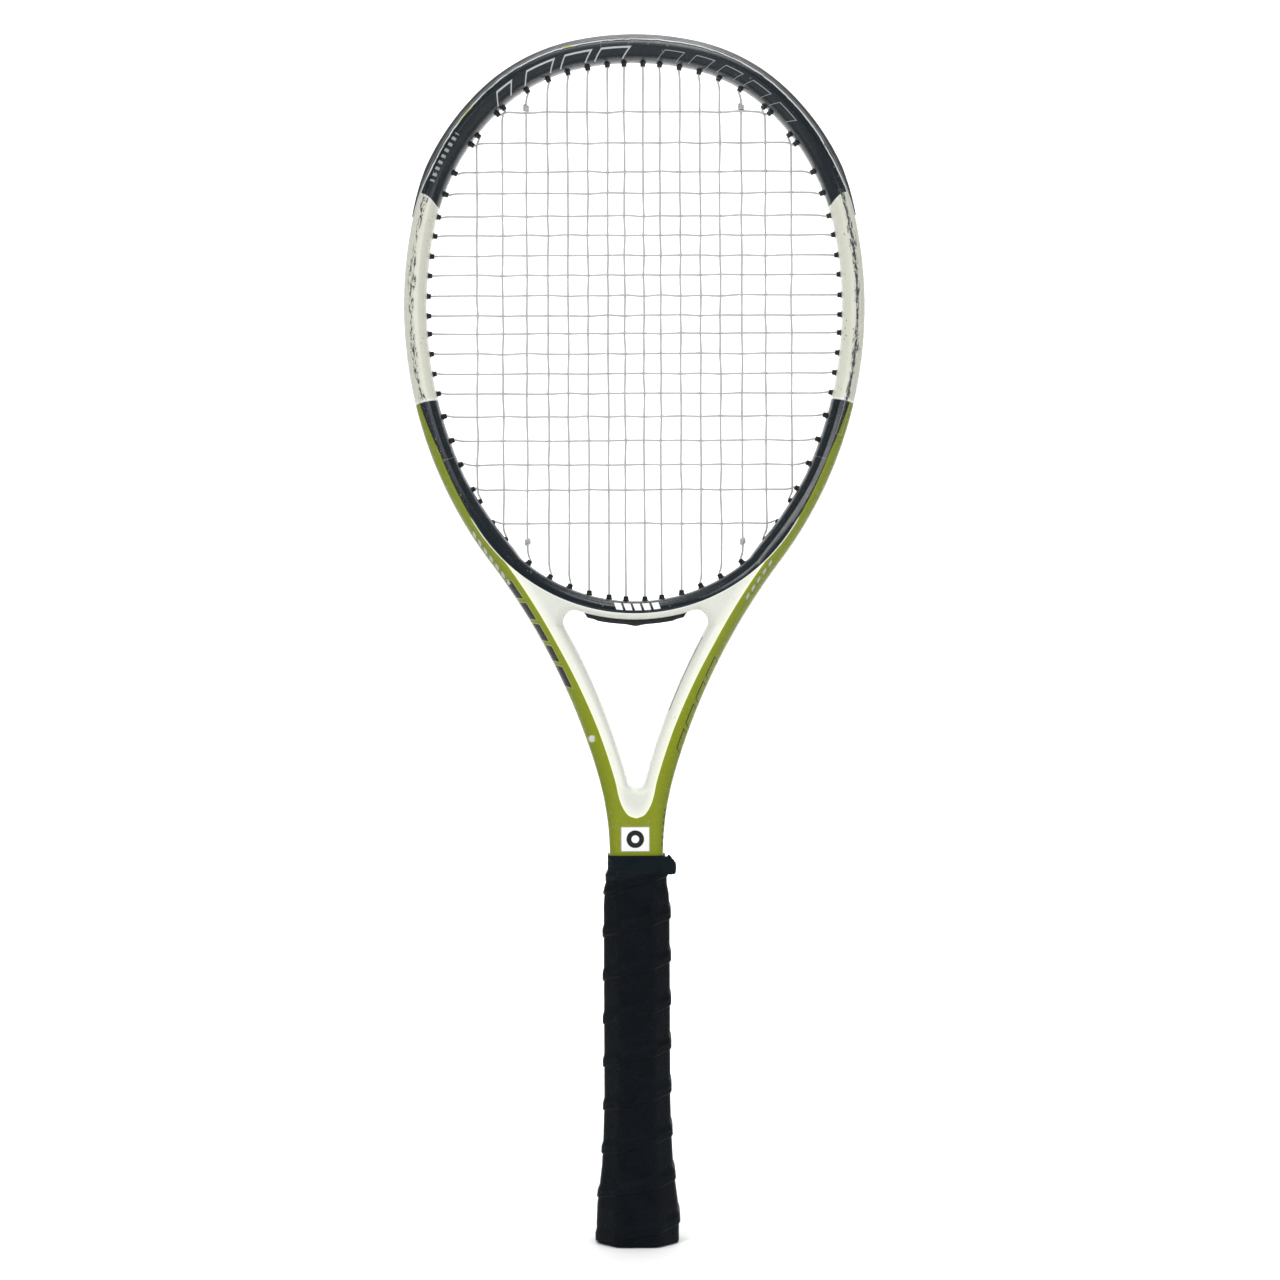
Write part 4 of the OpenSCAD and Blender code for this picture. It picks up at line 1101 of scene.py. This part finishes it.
def knot(parts, x, z, up):
    """A tied end: turns around the main, crossed by a short tail."""
    pts = []
    for t in np.arange(64) / 63:
        a = t * KNOT_TURNS * 2 * math.pi
        rise = KNOT_PITCH * KNOT_TURNS * (t - .5)
        pts.append([x + KNOT_R * math.cos(a), KNOT_R * math.sin(a), z + up * rise])
    lx, ly, lz = pts[-1]
    pts += [[lx + dx, ly + dy, lz + up * dz] for dx, dy, dz in KNOT_TAIL]
    parts.shell(*tube(pts, KNOT_STRING_R, 8))


knots = Parts()
for side in (-1, 1):
    x = side * float(MAIN_X[KNOT_MAIN])
    knot(knots, x, tip(BOTTOM_HOLES[KNOT_MAIN])[1] + 10, -1)
    knot(knots, x, tip(TOP_HOLES[KNOT_MAIN])[1] - 8, 1)
knots.build("string_knots_visual", material=MAIN_MAT, node="string_knots", slot="string")


# ---- handle -------------------------------------------------------------------------------------
# [height, half width, half depth, cut corner] of the handle under its wraps
HANDLE = [(0, 21, 18.4, 10.6), (11, 21.1, 18.5, 10.6), (21, 20.7, 18.1, 10.3), (32, 19.3, 16.8, 9.4),
          (43, 18, 15.5, 8.9), (58, 17.2, 14.7, 8.5), (80, 16.5, 14.1, 8.3), (190, 16.5, 14.1, 8.3),
          (202, 15.7, 12.2, 6), (224, 15.4, 10.9, 1.6)]
CUT_GROWTH = .586            # of the cut corner, for each mm that the surface stands off
CORNERS = 26.0               # a higher power makes the octagon's corners sharper
WRAP_PITCH, OVER_START, BASE_START = 24.6, 6.0, 18.0
# the overgrip's perforations: the radius they are spaced at, their spacing and their sizes
GRIP_R, HOLE_STEP, HOLE_ROW, HOLE_R, DENT_R, DENT = 19.0, 6.2, 6.1, .42, .75, .28


def handle_radius(theta, z, off):
    """Distance of the handle's surface from its axis, an octagon with softened corners."""
    hx, hy, cut = (np.interp(z, [p[0] for p in HANDLE], [p[k] for p in HANDLE]) for k in (1, 2, 3))
    hx, hy, cut = hx + off, hy + off, cut + off * CUT_GROWTH
    c, s = np.abs(np.sin(theta)), np.abs(np.cos(theta))
    total = sum(share ** CORNERS for share in (c / hx, s / hy, (c + s) / (hx + hy - cut)))
    return total ** (-1 / CORNERS)


def smooth(t):
    t = np.clip(t, 0, 1)
    return t * t * (3 - 2 * t)


def grip_surface(z, theta, off, start, step, dots):
    """A wound strip's surface: its lower edges stand off by step and rise to the right in front."""
    f = ((z - start) / WRAP_PITCH - theta / (2 * math.pi)) % 1.0 * WRAP_PITCH
    waver = .15 * np.sin(theta * 3 + z * .05)
    close = np.clip((WRAP_PITCH - f) / 1.5, 0, 1)
    h = step * smooth((f + waver) / .7) * (1 - smooth((f - 4.0) / 4.0)) - .12 * step * (1 - close)
    if dots:
        a = (theta * GRIP_R / HOLE_STEP + np.floor(f / HOLE_ROW) * .5) % 1.0 - .5
        b = (f / HOLE_ROW) % 1.0 - .5
        h = h - DENT * np.clip(1 - np.hypot(a * HOLE_STEP, b * HOLE_ROW) / DENT_R, 0, 1) ** .6
    return handle_radius(theta, z, off) + h


def sleeve(low, high, rows, cols, outer, inner):
    """A closed sleeve between two surfaces, functions of height and angle, from low to high."""
    theta = np.arange(cols) * 2 * math.pi / cols - math.pi
    bottom = low(theta) if callable(low) else low
    rings = []
    for surface, shares in ((outer, np.linspace(0, 1, rows)), (inner, np.linspace(1, 0, max(3, rows // 12)))):
        for t in shares:
            z = np.broadcast_to(bottom + (high - bottom) * t, theta.shape)
            r = surface(z, theta)
            rings.append(np.stack([r * np.sin(theta), -r * np.cos(theta), z], 1))
    return Parts().shell(*loft(rings, caps=False, loop=True), angle=np.tile(theta, len(rings)))


def heights(node):
    low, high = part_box(node)
    return low[2] / MM, high[2] / MM


GRIP_LO, GRIP_HI = heights("overgrip")
BASE_LO, BASE_HI = heights("base_grip")
TAPE_LO, TAPE_HI = heights("finishing_tape")


def skive(z):
    """How far the layers under the overgrip stand off the handle."""
    return np.where(z < 198, 1.8, np.interp(z, [198, 203, 230], [1.8, 1.1, 1.1]))


def over_outer(z, t):
    hem = 1 - np.clip((z - GRIP_LO) / 1.2, 0, 1)
    return grip_surface(z, t, skive(z) + .1 + .42, OVER_START, .8, True) - .35 * hem ** 2


def base_outer(z, t):
    return np.minimum(grip_surface(z, t, np.interp(z, [195, 203], [1.62, .6]), BASE_START, .12, False),
                      handle_radius(t, z, np.interp(z, [195, 203], [1.75, .65])))


overgrip = sleeve(GRIP_LO, GRIP_HI - .2, 560, 232, over_outer,
                  lambda z, t: handle_radius(t, z, skive(z) + .12)
                  ).build("overgrip_visual", node="overgrip", slot="overgrip", smooth_angle=60)
base_grip = sleeve(BASE_LO, BASE_HI, 150, 96, base_outer, lambda z, t: handle_radius(t, z, .06)
                   ).build("base_grip_visual", node="base_grip", slot="base_grip", smooth_angle=60)


def tape_bottom(theta):
    return TAPE_LO + .3 + 2.2 * np.sin(theta) * np.clip(np.cos(theta) * 2 + .4, -.4, 1)


def tape_off(z):
    return np.interp(z, [GRIP_HI - 1.5, GRIP_HI + 1.0, 230], [1.1 + .55, .45, .35])


def tape_outer(z, t):
    lap = .16 * np.clip(((t + 1.2) % (2 * math.pi)) / .05, 0, 1)
    wrinkle = .07 * np.sin(z * 1.9 + t * 4) + .05 * np.sin(t * 9 + z)
    return handle_radius(t, z, tape_off(z) + .42) + wrinkle - .1 + lap * .6


# the loose end of the tape in plan, folded back on itself at the right edge
TAIL = [(11.2, -11.6), (13.6, -11.9), (16.0, -11.4), (18.4, -10.9), (20.6, -10.6), (21.7, -9.9),
        (21.9, -9.0), (21.1, -8.3), (19.2, -8.2), (17.0, -8.6), (15.4, -8.4), (14.6, -7.6)]
TAIL_LOW, TAIL_HIGH, TAIL_HALF = 208.9, 219.3, .24
NO_SEAM = 9.0                # an angle that no point of the handle's surface has


def tape_tail(parts):
    line = np.array(catmull([np.array(p) for p in TAIL], 5))
    t = np.gradient(line, axis=0)
    t /= np.linalg.norm(t, axis=1)[:, None]
    nrm = np.stack([t[:, 1], -t[:, 0]], 1)
    rng = np.random.default_rng(5)
    rings = []
    for k, s in enumerate(np.arange(len(line)) / (len(line) - 1)):
        top = TAIL_HIGH - 3.4 * ease(s, .25, .5) + rng.uniform(-.35, .35) * (s > .3)
        if abs(s - .28) < .03:
            top += .9
        low = TAIL_LOW + .9 * ease(s, .35, .6) + rng.uniform(-.25, .25) * (s > .3)
        zs = np.linspace(low, top, 9)
        sag = .35 * np.sin((zs - low) / (top - low) * math.pi) * ease(s, .2, .5)
        ring = []
        for sign in (1, -1):
            p = line[k] + sign * nrm[k] * TAIL_HALF
            ring += [[p[0] + g, p[1], z] for z, g in zip(zs[::sign], sag[::sign])]
        rings.append(np.array(ring))
    return parts.shell(*loft(rings), angle=NO_SEAM)


tape = tape_tail(sleeve(tape_bottom, TAPE_HI, 40, 160, tape_outer,
                        lambda z, t: handle_radius(t, z, tape_off(z) - .1))
                 ).build("finishing_tape_visual", node="finishing_tape", slot="tape", smooth_angle=50)


def grip_material(name, base, light, holes):
    net = Net(name)
    angle, z = net.attr("angle"), net.xyz()[2]
    grain, fine, slow = net.noise(1500, 3, .65), net.noise(4200, 2, .5), net.noise(60, 3, .6)
    color = net.mix(slow.ramp(.3, .75), base, light)
    color = net.mix(grain.ramp(.5, .75, 0.0, .35), color, tuple(c * 1.7 for c in light))
    height = grain * .6 + fine * .3
    if holes:
        w = (z * PER_M - OVER_START) / WRAP_PITCH - angle / (2 * math.pi)
        f = w.fract() * WRAP_PITCH
        a = ((angle * GRIP_R / HOLE_STEP + (f / HOLE_ROW).floor() * .5).fract() - .5) * HOLE_STEP
        b = ((f / HOLE_ROW).fract() - .5) * HOLE_ROW
        dot = ~a.hypot(b).over(HOLE_R)
        # the perforations are painted near black: painted shade in the holes
        color = net.mix(dot * .85, color, (.0012, .0014, .0016))
        # the lower edge of each wrap is painted darker: painted shade in the seam
        color = net.mix(~f.over(.55, .3) * .8, color, (.002, .0025, .003))
        height = height - dot * 1.6
    rough = (slow + grain * .4).ramp(.4, 1.0, .42, .62)
    return net.done(color, rough, net.bump(height, .00018, .7), Specular_IOR_Level=.07)


OVER_MAT = grip_material("overgrip_tacky", (.0008, .0018, .0032), (.0030, .0052, .0078), True)
BASE_MAT = grip_material("base_grip_pu", (.010, .010, .011), (.018, .018, .019), False)
TAPE_MAT = grip_material("finishing_tape_pvc", (.0022, .0054, .0078), (.0052, .0098, .0130), False)
for obj, mat in ((overgrip, OVER_MAT), (base_grip, BASE_MAT), (tape, TAPE_MAT)):
    obj.data.materials.append(mat)


# ---- materials of the CAD parts that keep their shape -------------------------------------------
def plain(name, base, light, scale, rough, bump=.0001, **fixed):
    net = Net(name)
    mid, fine = net.noise(scale, 4, .6), net.noise(scale * 5, 2, .5)
    return net.done(net.mix(mid.ramp(.35, .7), base, light), mid.ramp(.3, .7, *rough),
                    net.bump(mid + fine * .4, bump, .6), **fixed)


STEEL = plain("staple_steel", (.45, .46, .47), (.60, .61, .62), 900, (.24, .42), .00004, Metallic=1.0)
KEPT_NODES = {
    "butt_cap": plain("butt_cap_plastic", (.008, .009, .010), (.016, .017, .018), 420, (.38, .55)),
    "trap_door": plain("trap_door_plastic", (.011, .012, .014), (.022, .023, .025), 380, (.34, .5)),
    "butt_cap_staples": STEEL,
    "base_grip_tack": STEEL,
    "handle_foam": plain("handle_foam_pu", (.42, .34, .20), (.52, .43, .27), 1100, (.7, .9), .0002),
    "base_grip_tape": plain("base_tape_cloth", (.012, .012, .013), (.024, .024, .026), 1600, (.6, .8))}
for node, mat in KEPT_NODES.items():
    obj = next(o for o in bpy.data.objects if o.get("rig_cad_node") == node)
    obj.data.materials.clear()
    obj.data.materials.append(mat)


# ---- floor and surroundings ---------------------------------------------------------------------
FLOOR_NEAR, FLOOR_HALF, SWEEP_Y, SWEEP_R, WALL_TOP = -12.0, 12.0, 1.2, 1.4, 4.5
WORLD_LIGHT = .42


def backdrop():
    """A floor that sweeps up into a wall behind the racket."""
    pts = [(y, 0.0) for y in (FLOOR_NEAR, *np.linspace(-3.0, SWEEP_Y, 8))]
    pts += [(SWEEP_Y + SWEEP_R * math.sin(a), SWEEP_R - SWEEP_R * math.cos(a))
            for a in np.linspace(.1, math.pi / 2, 16)]
    pts += [(SWEEP_Y + SWEEP_R, WALL_TOP)]
    verts = [(x, y, z) for y, z in pts for x in (-FLOOR_HALF, FLOOR_HALF)]
    faces = [[2 * k, 2 * k + 1, 2 * k + 3, 2 * k + 2] for k in range(len(pts) - 1)]
    mesh = bpy.data.meshes.new("floor")
    mesh.from_pydata(verts, [], faces)
    mesh.shade_smooth()
    obj = bpy.data.objects.new("floor", mesh)
    bpy.context.scene.collection.objects.link(obj)
    net = Net("floor_pale")
    pale = net.mix(net.noise(6, 2, .5).ramp(.3, .7), (.875, .875, .875), (.89, .89, .89))
    mesh.materials.append(net.done(pale, .8))


backdrop()
world = bpy.data.worlds.new("world")
bpy.context.scene.world = world
world.use_nodes = True
background = world.node_tree.nodes["Background"]
background.inputs["Color"].default_value = (1, 1, 1, 1)
background.inputs["Strength"].default_value = WORLD_LIGHT
